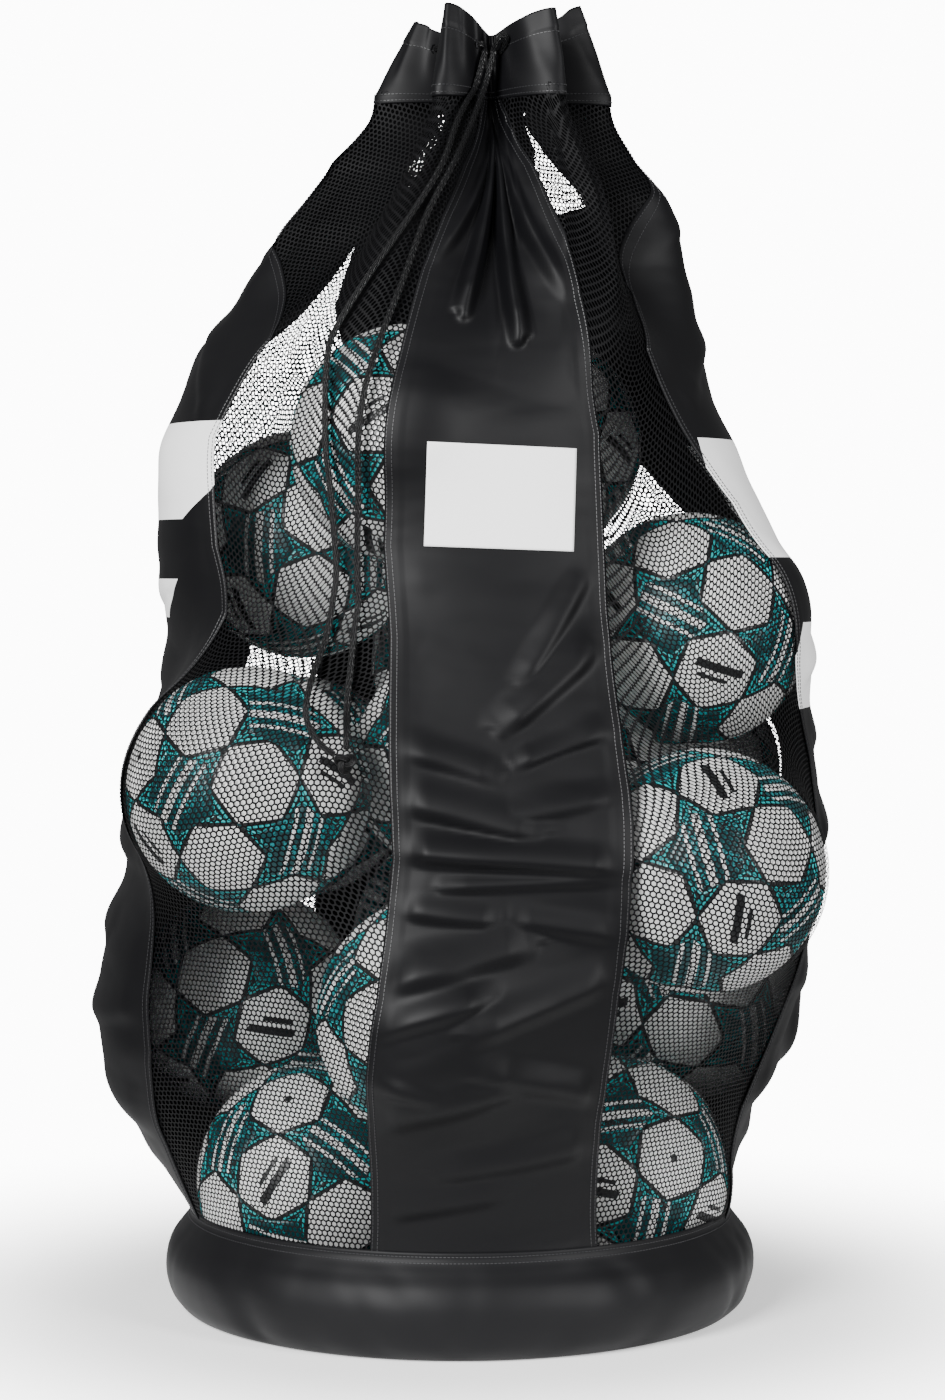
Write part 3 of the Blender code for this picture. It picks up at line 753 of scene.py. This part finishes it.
def grid_faces(rows, columns):
    """Quads of a grid of points stored row after row, facing out of the bag."""
    first = (np.arange(rows - 1)[:, None] * columns + np.arange(columns - 1)).ravel()
    return np.stack([first, first + 1, first + columns + 1, first + columns], -1).tolist()


def thickened(piece, wall):
    """Give a sheet its thickness, inwards from its face."""
    solid = piece.modifiers.new("wall", "SOLIDIFY")
    solid.thickness = wall
    solid.offset = -1.0
    return piece


def finished_mesh(piece):
    """The piece as a plain mesh with its modifiers worked out."""
    made = bpy.data.meshes.new_from_object(piece.evaluated_get(bpy.context.evaluated_depsgraph_get()))
    name = piece.name
    bpy.data.objects.remove(piece)
    plain = bpy.data.objects.new(name, made)
    bpy.context.scene.collection.objects.link(plain)
    return plain


# Net panels. Four panels of black knitted polyester net with six-sided holes a little taller than wide,
# gathered at the neck. Each is one layer, tucked under the cloth, the collar and the band it is sewn to.
net_pitch = 0.0054
net_strand = 0.0016
net_tuck = 0.006
net_sink = 0.0012
net_rows = 420
net_columns = 190
net_squeeze = 0.25


def arc_maps(start, end, heights):
    """Lengths along the skin, across from the middle bearing and up from the base seam."""
    bearings = np.linspace(start, end, 220)
    b, z = np.meshgrid(bearings, heights)
    spots = skin(b, z)
    across = np.linalg.norm(np.diff(spots, axis=1), axis=2)
    run = np.concatenate([np.zeros((len(heights), 1)), np.cumsum(across, 1)], 1)
    run -= run[:, len(bearings) // 2][:, None]
    up = np.linalg.norm(np.diff(spots, axis=0), axis=2)
    rise = np.concatenate([np.zeros((1, len(bearings))), np.cumsum(up, 0)], 0)
    return bearings, run, rise


def panel_edges(first, last, heights):
    start = along_line(seam_lines[first], heights)
    width = np.mod(along_line(seam_lines[last], heights) - start, 360.0)
    return start, width


def net_patch(name, first, last):
    """The net's surface as a plain grid, with a UV map in metres of flat net."""
    heights = np.linspace(base_seam - net_tuck, collar_seam + net_tuck, net_rows)
    start, width = panel_edges(first, last, heights)
    spots = skin(np.stack([start, start + width / 2.0, start + width], 1), heights[:, None])
    spare = np.degrees(net_tuck / np.maximum(np.linalg.norm(spots[:, 1, :2], axis=1), 0.03))
    across = np.linspace(0.0, 1.0, net_columns)
    b = (start - spare)[:, None] + across * (width + 2.0 * spare)[:, None]
    z = np.repeat(heights[:, None], net_columns, 1)
    bearings, run, rise = arc_maps(b.min() - 1.0, b.max() + 1.0, heights)
    column = (b - bearings[0]) / (bearings[1] - bearings[0])
    c = np.clip(np.floor(column).astype(int), 0, len(bearings) - 2)
    share = column - c
    rows = np.arange(net_rows)[:, None]
    flat_u = run[rows, c] * (1.0 - share) + run[rows, c + 1] * share
    flat_v = rise[rows, c] * (1.0 - share) + rise[rows, c + 1] * share
    flat_u = flat_u * (1.0 + net_squeeze * smooth_step(z, 0.85, 1.10))
    verts = skin(b, z, -net_sink).reshape(-1, 3)
    uv = np.stack([flat_u.ravel(), flat_v.ravel()], -1)
    return new_piece(name, verts, grid_faces(net_rows, net_columns), net_finish.mat, uv), uv


class Tree:
    """A Geometry Nodes tree being built up, with its modifier inputs by name."""

    def __init__(self, name, values):
        self.tree = bpy.data.node_groups.new(name, "GeometryNodeTree")
        self.tree.interface.new_socket("Geometry", in_out="INPUT", socket_type="NodeSocketGeometry")
        self.ids = {}
        for label, kind in values.items():
            socket = self.tree.interface.new_socket(label, in_out="INPUT", socket_type="NodeSocket" + kind)
            self.ids[label] = socket.identifier
        self.tree.interface.new_socket("Geometry", in_out="OUTPUT", socket_type="NodeSocketGeometry")
        self.given = self.tree.nodes.new("NodeGroupInput").outputs

    def add(self, kind, settings=None, sockets=None):
        node = self.tree.nodes.new(kind)
        for key, value in (settings or {}).items():
            setattr(node, key, value)
        for key, value in (sockets or {}).items():
            if isinstance(value, bpy.types.NodeSocket):
                self.tree.links.new(value, node.inputs[key])
            else:
                node.inputs[key].default_value = value
        return node.outputs

    def end(self, geometry, material):
        whole = self.add("GeometryNodeRealizeInstances", None, {0: geometry})
        painted = self.add("GeometryNodeSetMaterial", None, {"Geometry": whole[0], "Material": material})
        self.add("NodeGroupOutput", None, {0: painted[0]})

    def on(self, piece, values):
        """Run the tree on a piece and return the plain mesh it makes."""
        modifier = piece.modifiers.new(self.tree.name, "NODES")
        modifier.node_group = self.tree
        for label, value in values.items():
            modifier[self.ids[label]] = value
        return finished_mesh(piece)


def net_tree():
    """Six-sided rings laid out flat in rows, then mapped on the patch through its UV map."""
    tree = Tree("net_holes", {"Width": "Float", "Height": "Float", "Left": "Float", "Bottom": "Float",
                              "Pitch": "Float", "Hole Share": "Float", "Material": "Material"})
    given = tree.given

    def maths(operation, first, second=None):
        sockets = {0: first} if second is None else {0: first, 1: second}
        return tree.add("ShaderNodeMath", {"operation": operation}, sockets)[0]

    row_step = maths("MULTIPLY", given["Pitch"], math.sqrt(3.0) / 2.0)
    columns = maths("CEIL", maths("DIVIDE", given["Width"], given["Pitch"]))
    rows = maths("CEIL", maths("DIVIDE", given["Height"], row_step))
    sheet = tree.add("GeometryNodeMeshGrid", None, {
        "Size X": maths("MULTIPLY", columns, given["Pitch"]), "Size Y": maths("MULTIPLY", rows, row_step),
        "Vertices X": maths("ADD", columns, 1.0), "Vertices Y": maths("ADD", rows, 1.0)})[0]
    order = tree.add("GeometryNodeInputIndex")[0]
    row_number = maths("FLOORED_MODULO", order, maths("ADD", rows, 1.0))
    odd = maths("FLOORED_MODULO", row_number, 2.0)
    shift = tree.add("ShaderNodeCombineXYZ", None, {
        0: maths("ADD", given["Left"], maths("MULTIPLY", odd, maths("MULTIPLY", given["Pitch"], 0.5))),
        1: given["Bottom"]})[0]
    spots = tree.add("GeometryNodeSetPosition", None, {"Geometry": sheet, "Offset": shift})[0]
    ring = tree.add("GeometryNodeMeshCircle", {"fill_type": "NGON"}, {
        "Vertices": 6, "Radius": maths("DIVIDE", given["Pitch"], math.sqrt(3.0))})[0]
    ring = tree.add("GeometryNodeTransform", None, {
        "Geometry": ring, "Rotation": (0.0, 0.0, math.pi / 2.0)})[0]
    hole = tree.add("GeometryNodeExtrudeMesh", {"mode": "FACES"}, {"Mesh": ring, "Offset Scale": 0.0})
    inner = tree.add("GeometryNodeScaleElements", None, {
        "Geometry": hole[0], "Selection": hole[1], "Scale": given["Hole Share"]})[0]
    open_ring = tree.add("GeometryNodeDeleteGeometry", {"domain": "FACE"}, {
        "Geometry": inner, "Selection": hole[1]})[0]
    laid = tree.add("GeometryNodeInstanceOnPoints", None, {"Points": spots, "Instance": open_ring})[0]
    flat_net = tree.add("GeometryNodeRealizeInstances", None, {0: laid})[0]
    uv = tree.add("GeometryNodeInputNamedAttribute", {"data_type": "FLOAT_VECTOR"}, {"Name": "flat"})[0]
    where = tree.add("GeometryNodeInputPosition")[0]
    mapped = tree.add("GeometryNodeSampleUVSurface", {"data_type": "FLOAT_VECTOR"}, {
        "Mesh": given["Geometry"], "Value": where, "UV Map": uv, "Sample UV": where})
    outside = tree.add("FunctionNodeBooleanMath", {"operation": "NOT"}, {0: mapped[1]})[0]
    cut = tree.add("GeometryNodeDeleteGeometry", {"domain": "POINT"}, {
        "Geometry": flat_net, "Selection": outside})[0]
    hung = tree.add("GeometryNodeSetPosition", None, {"Geometry": cut, "Position": mapped[0]})[0]
    tree.end(hung, given["Material"])
    return tree


net_finish = Finish("net", (0.0025, 0.0025, 0.003), 0.6)
net_finish.shader.inputs["Specular IOR Level"].default_value = 0.10
holes = net_tree()
for name, (first, last) in net_panels.items():
    patch, flat = net_patch(name + "_knitted", first, last)
    net = holes.on(patch, {
        "Width": float(np.ptp(flat[:, 0])), "Height": float(np.ptp(flat[:, 1])),
        "Left": float(flat[:, 0].mean()), "Bottom": float(flat[:, 1].mean()),
        "Pitch": net_pitch, "Hole Share": 1.0 - net_strand / net_pitch, "Material": net_finish.mat})
    net.data.shade_smooth()
    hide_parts(name)
    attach(net, "bag")


# Cloth panels. Four panels of black coated nylon, cut straight and sewn over the net's edges with
# turned edges and two rows of lockstitch. The full bag creases them across and pleats them at the neck.
cloth_wall = 0.0007
cloth_rows = 340
cloth_columns = 76
cloth_edge = 0.0045
turned_edge = 0.011
turned_rise = 0.0004
crease_width = 1.7
front_creases = [
    (0.00, 0.456, 1.00, 0.440, 0.016, 0.012), (0.22, 0.424, 0.98, 0.430, 0.008, 0.005),
    (0.02, 0.500, 0.62, 0.470, 0.018, 0.008), (0.45, 0.480, 1.00, 0.505, 0.014, 0.006),
    (0.50, 0.560, 1.00, 0.640, 0.016, 0.008), (0.55, 0.530, 1.00, 0.560, 0.012, 0.007),
    (0.60, 0.600, 0.95, 0.700, 0.012, 0.005), (0.00, 0.545, 0.45, 0.520, 0.014, 0.005),
    (0.00, 0.345, 0.60, 0.375, 0.020, 0.009), (0.00, 0.300, 0.42, 0.330, 0.014, 0.007),
    (0.40, 0.300, 1.00, 0.345, 0.018, 0.008), (0.45, 0.262, 0.98, 0.236, 0.016, 0.007),
    (0.05, 0.215, 0.60, 0.250, 0.014, 0.006), (0.30, 0.170, 0.95, 0.190, 0.016, 0.006),
    (0.55, 0.395, 1.00, 0.380, 0.012, 0.006), (0.05, 0.405, 0.45, 0.395, 0.012, 0.006),
    (0.05, 0.130, 0.55, 0.150, 0.014, 0.004), (0.00, 0.255, 0.30, 0.235, 0.010, 0.005),
    (0.50, 1.120, 0.30, 0.930, 0.012, 0.020), (0.56, 1.110, 0.62, 0.905, 0.011, 0.019),
    (0.64, 1.100, 0.95, 0.950, 0.012, 0.017), (0.42, 1.110, 0.03, 0.985, 0.012, 0.016),
]
side_creases = [
    (0.00, 0.210, 0.70, 0.235, 0.024, 0.010), (0.25, 0.165, 1.00, 0.150, 0.020, 0.008),
    (0.00, 0.320, 0.55, 0.300, 0.022, 0.009), (0.30, 0.385, 1.00, 0.405, 0.024, 0.010),
    (0.00, 0.450, 0.75, 0.480, 0.022, 0.011), (0.20, 0.545, 1.00, 0.520, 0.020, 0.009),
    (0.00, 0.600, 0.60, 0.635, 0.018, 0.008), (0.35, 0.700, 1.00, 0.680, 0.018, 0.006),
    (0.10, 0.860, 0.55, 0.960, 0.018, 0.007), (0.55, 0.900, 0.85, 1.040, 0.016, 0.007),
    (0.05, 1.000, 0.40, 1.110, 0.014, 0.007),
]
crease_lists = {
    "cloth_panel_front": front_creases,
    "cloth_panel_right": [(a, b, c, d, e, 0.6 * f) for a, b, c, d, e, f in side_creases],
    "cloth_panel_back": [(1.0 - a, b + 0.03, 1.0 - c, d + 0.03, e, f) for a, b, c, d, e, f in side_creases],
    "cloth_panel_left": [(1.0 - a, b - 0.02, 1.0 - c, d - 0.02, e, 0.6 * f)
                         for a, b, c, d, e, f in side_creases],
}
slack_waves = [(9.0, 31.0, 0.0, 0.0014), (-14.0, 47.0, 1.7, 0.0010), (21.0, 74.0, 0.6, 0.0006),
               (-31.0, 118.0, 2.2, 0.0004)]


def creases(name, across, height, width):
    """Rise of a panel's creases: long crests with one sharp side, over a slight waviness."""
    lift = np.zeros_like(across)
    x = across * width
    for start, low, end, high, half, rise in crease_lists[name]:
        ax, ay = start * width, low
        bx, by = (end - start) * width, high - low
        size = bx * bx + by * by
        t = np.clip(((x - ax) * bx + (height - ay) * by) / size, 0.0, 1.0)
        dx, dy = x - ax - t * bx, height - ay - t * by
        gone = np.hypot(dx, dy) / (half * crease_width)
        under = np.where(dy < 0.0, gone * 1.7, gone)
        crest = 0.5 + 0.5 * np.cos(np.pi * np.minimum(under, 1.0))
        taper = np.minimum(1.0, 4.0 * np.minimum(t + 0.12, 1.12 - t))
        lift = np.maximum(lift, crest * rise * taper)
    for kx, kz, phase, size in slack_waves:
        lift = lift + size * np.sin(kx * x + kz * height + phase + 1.3 * np.sin(11.0 * x + 7.0 * height))
    return lift


def cloth_lift(name, across, height, width):
    """All that stands off the settled form, kept flat under the label and at the seams' ends."""
    lift = creases(name, across, height, width)
    edge = np.minimum(across, 1.0 - across) * width
    lift = lift * (0.25 + 0.75 * smooth_step(edge, 0.0, 0.030))
    calm = 1.0
    if name == "cloth_panel_front":
        calm = 1.0 - smooth_step(height, 0.68, 0.72) * (1.0 - smooth_step(height, 0.81, 0.86))
    turned = turned_rise * (1.0 - smooth_step(edge, turned_edge - 0.0015, turned_edge + 0.0005))
    ends = smooth_step(height, base_seam, base_seam + 0.02) * (1.0 - smooth_step(height, 1.11, collar_seam))
    return np.maximum(lift * calm * ends, -0.0012) + turned


def cloth_width(name, height):
    """Bearing where a cloth panel starts, its width in degrees and its width in metres."""
    start, width = panel_edges(*cloth_panels[name], height)
    left = skin(start, height)
    middle = skin(start + width / 2.0, height)
    right = skin(start + width, height)
    metres = np.linalg.norm(middle - left, axis=-1) + np.linalg.norm(right - middle, axis=-1)
    return start, width, np.maximum(metres, 0.03)


def cloth_points(name, across, height, lift=0.0):
    start, width, metres = cloth_width(name, height)
    own = cloth_lift(name, across, height, metres)
    return skin(start + across * width, height, own + lift)


nylon_black = (0.0014, 0.0014, 0.0020)


def nylon(name):
    """Black coated nylon: fine crinkles lying across the cloth, and a soft gloss."""
    finish = Finish(name, nylon_black, 0.40)
    crinkle = finish.noise(finish.place(1.0, 1.0, 2.2), 9.0, 2.0, 0.45)
    weave = finish.noise(finish.place(1.0, 1.0, 1.0), 1500.0, 1.0)
    finish.relief(crinkle + weave * 0.010, 0.010, 0.30)
    finish.roughness(0.46 + crinkle * 0.14)
    finish.shader.inputs["Specular IOR Level"].default_value = 0.17
    return finish


def printed_nylon(name, marks):
    """The nylon with white printed slanted blocks: height, middle, half width and half height."""
    finish = nylon(name)
    x, z = finish.uv("flat")
    print_mask = None
    for height, middle, half_width, half in marks:
        off = x - middle - (z - height) * print_slant
        block = abs(z - height).below(half) * abs(off).below(half_width)
        print_mask = block if print_mask is None else print_mask.most(block)
    finish.color(finish.mix(print_mask, nylon_black, white_print))
    return finish


white_print = (0.82, 0.82, 0.82)
print_slant = 0.55
cloth_finish = nylon("nylon_cloth")
left_print = printed_nylon("nylon_cloth_left", [(0.790, 0.13, 0.125, 0.045), (0.672, 0.17, 0.085, 0.018)])
right_print = printed_nylon("nylon_cloth_right", [(0.765, 0.09, 0.110, 0.055), (0.610, 0.07, 0.080, 0.040)])
panel_finishes = {"cloth_panel_left": left_print, "cloth_panel_right": right_print}

for name in cloth_panels:
    z = np.linspace(base_seam - 0.002, collar_seam + 0.003, cloth_rows)[:, None]
    across = np.linspace(0.0, 1.0, cloth_columns)[None, :]
    z, across = np.broadcast_arrays(z, across)
    start, width, metres = cloth_width(name, z)
    across = across * (1.0 + 2.0 * cloth_edge / metres) - cloth_edge / metres
    verts = cloth_points(name, across, z).reshape(-1, 3)
    uv = np.stack([(across * metres).ravel(), z.ravel()], -1)
    cover = panel_finishes.get(name, cloth_finish)
    cloth = new_piece(name + "_sewn", verts, grid_faces(cloth_rows, cloth_columns), cover.mat, uv)
    cloth = finished_mesh(thickened(cloth, cloth_wall))
    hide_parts(name)
    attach(cloth, "bag")


# Collar. A sleeve of the same nylon, two layers with a turned hem, sewn over the panels' top edges and
# drawn by its cord into seven upright folds.
collar_rows = 44
collar_columns = 640
collar_wall = 0.0016
hem_depth = 0.020


def collar_points(bearing, up, lift=0.0):
    """The gathered sleeve's outside: deep folds with small pleats, a lap below and a soft hem above."""
    radius, top = collar_radius(bearing, np.clip(up, 0.0, 1.0))
    height = collar_seam + up * (top - collar_seam)
    small = 0.0016 * np.sin(np.radians(bearing) * 37.0 + 2.0 * np.sin(np.radians(bearing) * 5.0) + 3.0 * up)
    small = small * smooth_step(up, 0.0, 0.5)
    hem = 0.0010 * smooth_step(height, top - hem_depth, top - hem_depth + 0.002)
    radius = radius + small + hem + 0.0016 + lift
    turn = np.radians(bearing)
    return np.stack([neck_lean[0] + radius * np.sin(turn), neck_lean[1] - radius * np.cos(turn), height], -1)


collar_bearings = np.linspace(-180.0, 180.0, collar_columns + 1)
bearing, up = np.meshgrid(collar_bearings, np.linspace(-0.10, 1.0, collar_rows))
verts = collar_points(bearing, up).reshape(-1, 3)
uv = np.stack([np.radians(bearing).ravel() * 0.1, up.ravel() * 0.07], -1)
collar = new_piece("collar_gathered", verts, grid_faces(collar_rows, collar_columns + 1),
                   cloth_finish.mat, uv)
collar = finished_mesh(thickened(welded(collar), collar_wall))
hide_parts("collar")
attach(collar, "bag")


# Eyelets. Fourteen small gunmetal rings set in the collar's folds, which the drawcord runs through.
eyelet_finish = Finish("eyelet_metal", (0.06, 0.06, 0.065), 0.28, 1.0)
for number in range(1, 15):
    eyelet = frame["nodes"]["eyelet_%02d" % number]
    eyelet.material_slots[0].material = eyelet_finish.mat


# Base. A stiff round board closes the bottom, and a deep band of heavy coated cloth is sewn round it
# and up to the panels, slightly bellied and dented by the balls behind it.
band_rows = 48
band_columns = 420
band_wall = 0.0016
band_profile = [(0.2575, 0.0960), (0.2585, 0.0880), (0.2660, 0.0780), (0.2750, 0.0660), (0.2800, 0.0530),
                (0.2812, 0.0400), (0.2795, 0.0270), (0.2740, 0.0130), (0.2650, 0.0030), (0.2585, 0.0002)]
band_seed = np.random.default_rng(5)
band_dents = [(band_seed.uniform(-180.0, 180.0), band_seed.uniform(-1.2, 1.2), band_seed.uniform(2.0, 5.0),
               band_seed.uniform(0.0010, 0.0028)) for _ in range(46)]


def band_points(bearing, down, lift=0.0):
    """The band's outside, down running 0 at its seam to 1 at the floor."""
    places = np.linspace(0.0, 1.0, len(band_profile))
    radius = np.interp(down, places, [spot[0] for spot in band_profile])
    height = np.interp(down, places, [spot[1] for spot in band_profile])
    dent = np.zeros_like(bearing)
    for middle, slope, width, depth in band_dents:
        off = np.mod(bearing - middle - slope * 14.0 * (down - 0.5) + 180.0, 360.0) - 180.0
        dent = dent + 0.6 * depth * np.exp(-(off / width) ** 2)
    clear = smooth_step(down, 0.03, 0.25) * (1.0 - smooth_step(down, 0.8, 1.0))
    radius = radius - np.minimum(dent, 0.005) * clear + lift
    turn = np.radians(bearing)
    return np.stack([radius * np.sin(turn), -radius * np.cos(turn), height], -1)


band_finish = Finish("coated_band", (0.0025, 0.0025, 0.0032), 0.5)
band_finish.shader.inputs["Specular IOR Level"].default_value = 0.18
band_grain = band_finish.noise(band_finish.place(1.0, 1.0, 0.6), 13.0, 2.0, 0.45)
band_finish.relief(band_grain + band_finish.noise(band_finish.place(1.0, 1.0, 1.0), 1300.0, 1.0) * 0.02,
                   0.008, 0.25)
band_finish.roughness(0.46 + band_grain * 0.14)

route = smooth_route([(spot[0], 0.0, spot[1]) for spot in band_profile], 0.0024)
band_profile = [(point.x, point.z) for point in route]
bearing, down = np.meshgrid(np.linspace(-180.0, 180.0, band_columns + 1), np.linspace(1.0, 0.0, band_rows))
verts = band_points(bearing, down).reshape(-1, 3)
uv = np.stack([np.radians(bearing).ravel() * 0.28, down.ravel() * 0.1], -1)
band = new_piece("base_band_bellied", verts, grid_faces(band_rows, band_columns + 1), band_finish.mat, uv)
band = finished_mesh(thickened(welded(band), band_wall))
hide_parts("base_band")
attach(band, "bag")

board_finish = Finish("base_board", (0.012, 0.012, 0.013), 0.6)
frame["nodes"]["base_disc"].material_slots[0].material = board_finish.mat


# Name label. A white woven-coated patch sewn flat on the front cloth, left blank for a name.
label_size = (0.133, 0.092)
label_middle = (0.037, 0.763)
label_tilt = math.radians(-2.0)
label_proud = 0.0014
label_columns = 60
label_rows = 42
label_wall = 0.0007


def front_point(x, z, lift):
    """Point on the front cloth at a place across and a height, standing off it by lift."""
    start, width, metres = cloth_width("cloth_panel_front", z)
    across = np.full_like(x, 0.5)
    for _ in range(14):
        spot = cloth_points("cloth_panel_front", across, z, lift)
        across = across + (x - spot[..., 0]) / metres
    return cloth_points("cloth_panel_front", across, z, lift)


label_finish = Finish("label", (0.94, 0.94, 0.94), 0.5)
label_finish.relief(label_finish.noise(label_finish.place(1.0, 1.0, 1.0), 260.0, 2.0), 0.0008, 0.3)
side, rise = np.meshgrid(np.linspace(-0.5, 0.5, label_columns), np.linspace(-0.5, 0.5, label_rows))
side, rise = side * label_size[0], rise * label_size[1]
x = label_middle[0] + side * math.cos(label_tilt) - rise * math.sin(label_tilt)
z = label_middle[1] + side * math.sin(label_tilt) + rise * math.cos(label_tilt)
verts = front_point(x, z, label_proud).reshape(-1, 3)
uv = np.stack([side.ravel(), rise.ravel()], -1)
label = new_piece("name_label_sewn", verts, grid_faces(label_rows, label_columns), label_finish.mat, uv)
label = finished_mesh(thickened(label, label_wall))
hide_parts("name_label")
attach(label, "bag")


# Stitching. Rows of thick black lockstitch hold the turned edges of the cloth over the net, the panels on
# the band and the collar on the panels.
stitch_length = 0.0036
stitch_gap = 0.0012
stitch_width = 0.0009
stitch_proud = 0.0002


def stitch_tree():
    """Short rounded stitches laid along every edge of a line mesh."""
    tree = Tree("lockstitch", {"Spacing": "Float", "Length": "Float", "Thickness": "Float",
                               "Material": "Material"})
    given = tree.given
    line = tree.add("GeometryNodeMeshToCurve", None, {"Mesh": given["Geometry"]})[0]
    spots = tree.add("GeometryNodeResampleCurve", {"mode": "LENGTH"}, {
        "Curve": line, "Length": given["Spacing"]})[0]
    ahead = tree.add("GeometryNodeInputTangent")[0]
    turn = tree.add("FunctionNodeAlignRotationToVector", {"axis": "Z"}, {"Vector": ahead})[0]
    thread = tree.add("GeometryNodeMeshCylinder", {"fill_type": "TRIANGLE_FAN"}, {
        "Vertices": 5, "Side Segments": 1, "Radius": 1.0, "Depth": 1.0})[0]
    size = tree.add("ShaderNodeCombineXYZ", None, {
        0: given["Thickness"], 1: given["Thickness"], 2: given["Length"]})[0]
    laid = tree.add("GeometryNodeInstanceOnPoints", None, {
        "Points": spots, "Instance": thread, "Rotation": turn, "Scale": size})[0]
    tree.end(laid, given["Material"])
    return tree


thread_finish = Finish("thread", (0.016, 0.016, 0.018), 0.5)
lockstitch = stitch_tree()


def stitched(name, rows):
    """One piece of all the stitches along the given rows of points."""
    verts = []
    edges = []
    for row in rows:
        first = len(verts)
        verts.extend(tuple(point) for point in row)
        edges.extend((index, index + 1) for index in range(first, len(verts) - 1))
    mesh = bpy.data.meshes.new(name)
    mesh.from_pydata(verts, edges, [])
    piece = bpy.data.objects.new(name, mesh)
    bpy.context.scene.collection.objects.link(piece)
    piece = lockstitch.on(piece, {"Spacing": stitch_length, "Length": stitch_length - stitch_gap,
                                  "Thickness": stitch_width / 2.0, "Material": thread_finish.mat})
    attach(piece, "bag")
    return piece


seam_rows = []
for name in cloth_panels:
    height = np.linspace(base_seam + 0.002, collar_seam - 0.004, 520)
    _, _, metres = cloth_width(name, height)
    for inset in (0.0020, 0.0068):
        for share in ((inset - cloth_edge) / metres, 1.0 - (inset - cloth_edge) / metres):
            seam_rows.append(cloth_points(name, share, height, stitch_proud))
stitched("panel_stitches", seam_rows)
around = np.linspace(-180.0, 180.0, 700)
band_rows_stitched = [band_points(around, np.full_like(around, share), stitch_proud)
                      for share in (0.035, 0.085)]
stitched("band_stitches", band_rows_stitched)
collar_stitch_rows = [collar_points(around, np.full_like(around, share), stitch_proud)
                      for share in (-0.055, 0.03, 0.70)]
stitched("collar_stitches", collar_stitch_rows)


# Studio. A pale floor under a white room, a large soft light at the upper left, and a weaker one
# at the right.
room_light = 0.34
wall_white = 12.0
floor_fade = (0.30, 0.95)
floor_glow = 0.5
room = bpy.data.worlds.new("white_room")
room.use_nodes = True
room.node_tree.nodes["Background"].inputs["Color"].default_value = (1.0, 1.0, 1.0, 1.0)
sight = room.node_tree.nodes.new("ShaderNodeLightPath").outputs["Is Camera Ray"]
glow = room.node_tree.nodes.new("ShaderNodeMapRange")
glow.inputs["To Min"].default_value = room_light
glow.inputs["To Max"].default_value = wall_white
room.node_tree.links.new(sight, glow.inputs["Value"])
room.node_tree.links.new(glow.outputs[0], room.node_tree.nodes["Background"].inputs["Strength"])
bpy.context.scene.world = room

floor_finish = Finish("floor", (0.92, 0.92, 0.92), 0.8)
floor_spot = floor_finish.place(1.0, 1.0, 0.0)
away = floor_finish.add("ShaderNodeVectorMath", {"operation": "LENGTH"}, {0: floor_spot}, out=1)
floor_finish.feed(floor_finish.shader.inputs["Alpha"], 1.0 - away.rise(*floor_fade))
floor_finish.shader.inputs["Emission Color"].default_value = (1.0, 1.0, 1.0, 1.0)
floor_finish.shader.inputs["Emission Strength"].default_value = floor_glow
floor = new_piece("floor", [(-6.0, -6.0, 0.0), (6.0, -6.0, 0.0), (6.0, 6.0, 0.0), (-6.0, 6.0, 0.0)],
                  [(0, 1, 2, 3)], floor_finish.mat, smooth=False)
floor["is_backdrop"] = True


def soft_light(name, place, aim, size, power):
    lamp = bpy.data.lights.new(name, "AREA")
    lamp.shape = "RECTANGLE"
    lamp.size, lamp.size_y = size
    lamp.energy = power
    holder = bpy.data.objects.new(name, lamp)
    holder.location = place
    holder.rotation_euler = (Vector(aim) - Vector(place)).to_track_quat("-Z", "Y").to_euler()
    bpy.context.scene.collection.objects.link(holder)
    holder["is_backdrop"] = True


soft_light("key_left", (-1.9, -3.1, 2.1), (0.0, 0.0, 0.7), (1.5, 2.0), 360.0)
soft_light("fill_right", (2.3, -2.2, 1.3), (0.0, 0.0, 0.7), (0.8, 2.0), 110.0)

low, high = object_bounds()
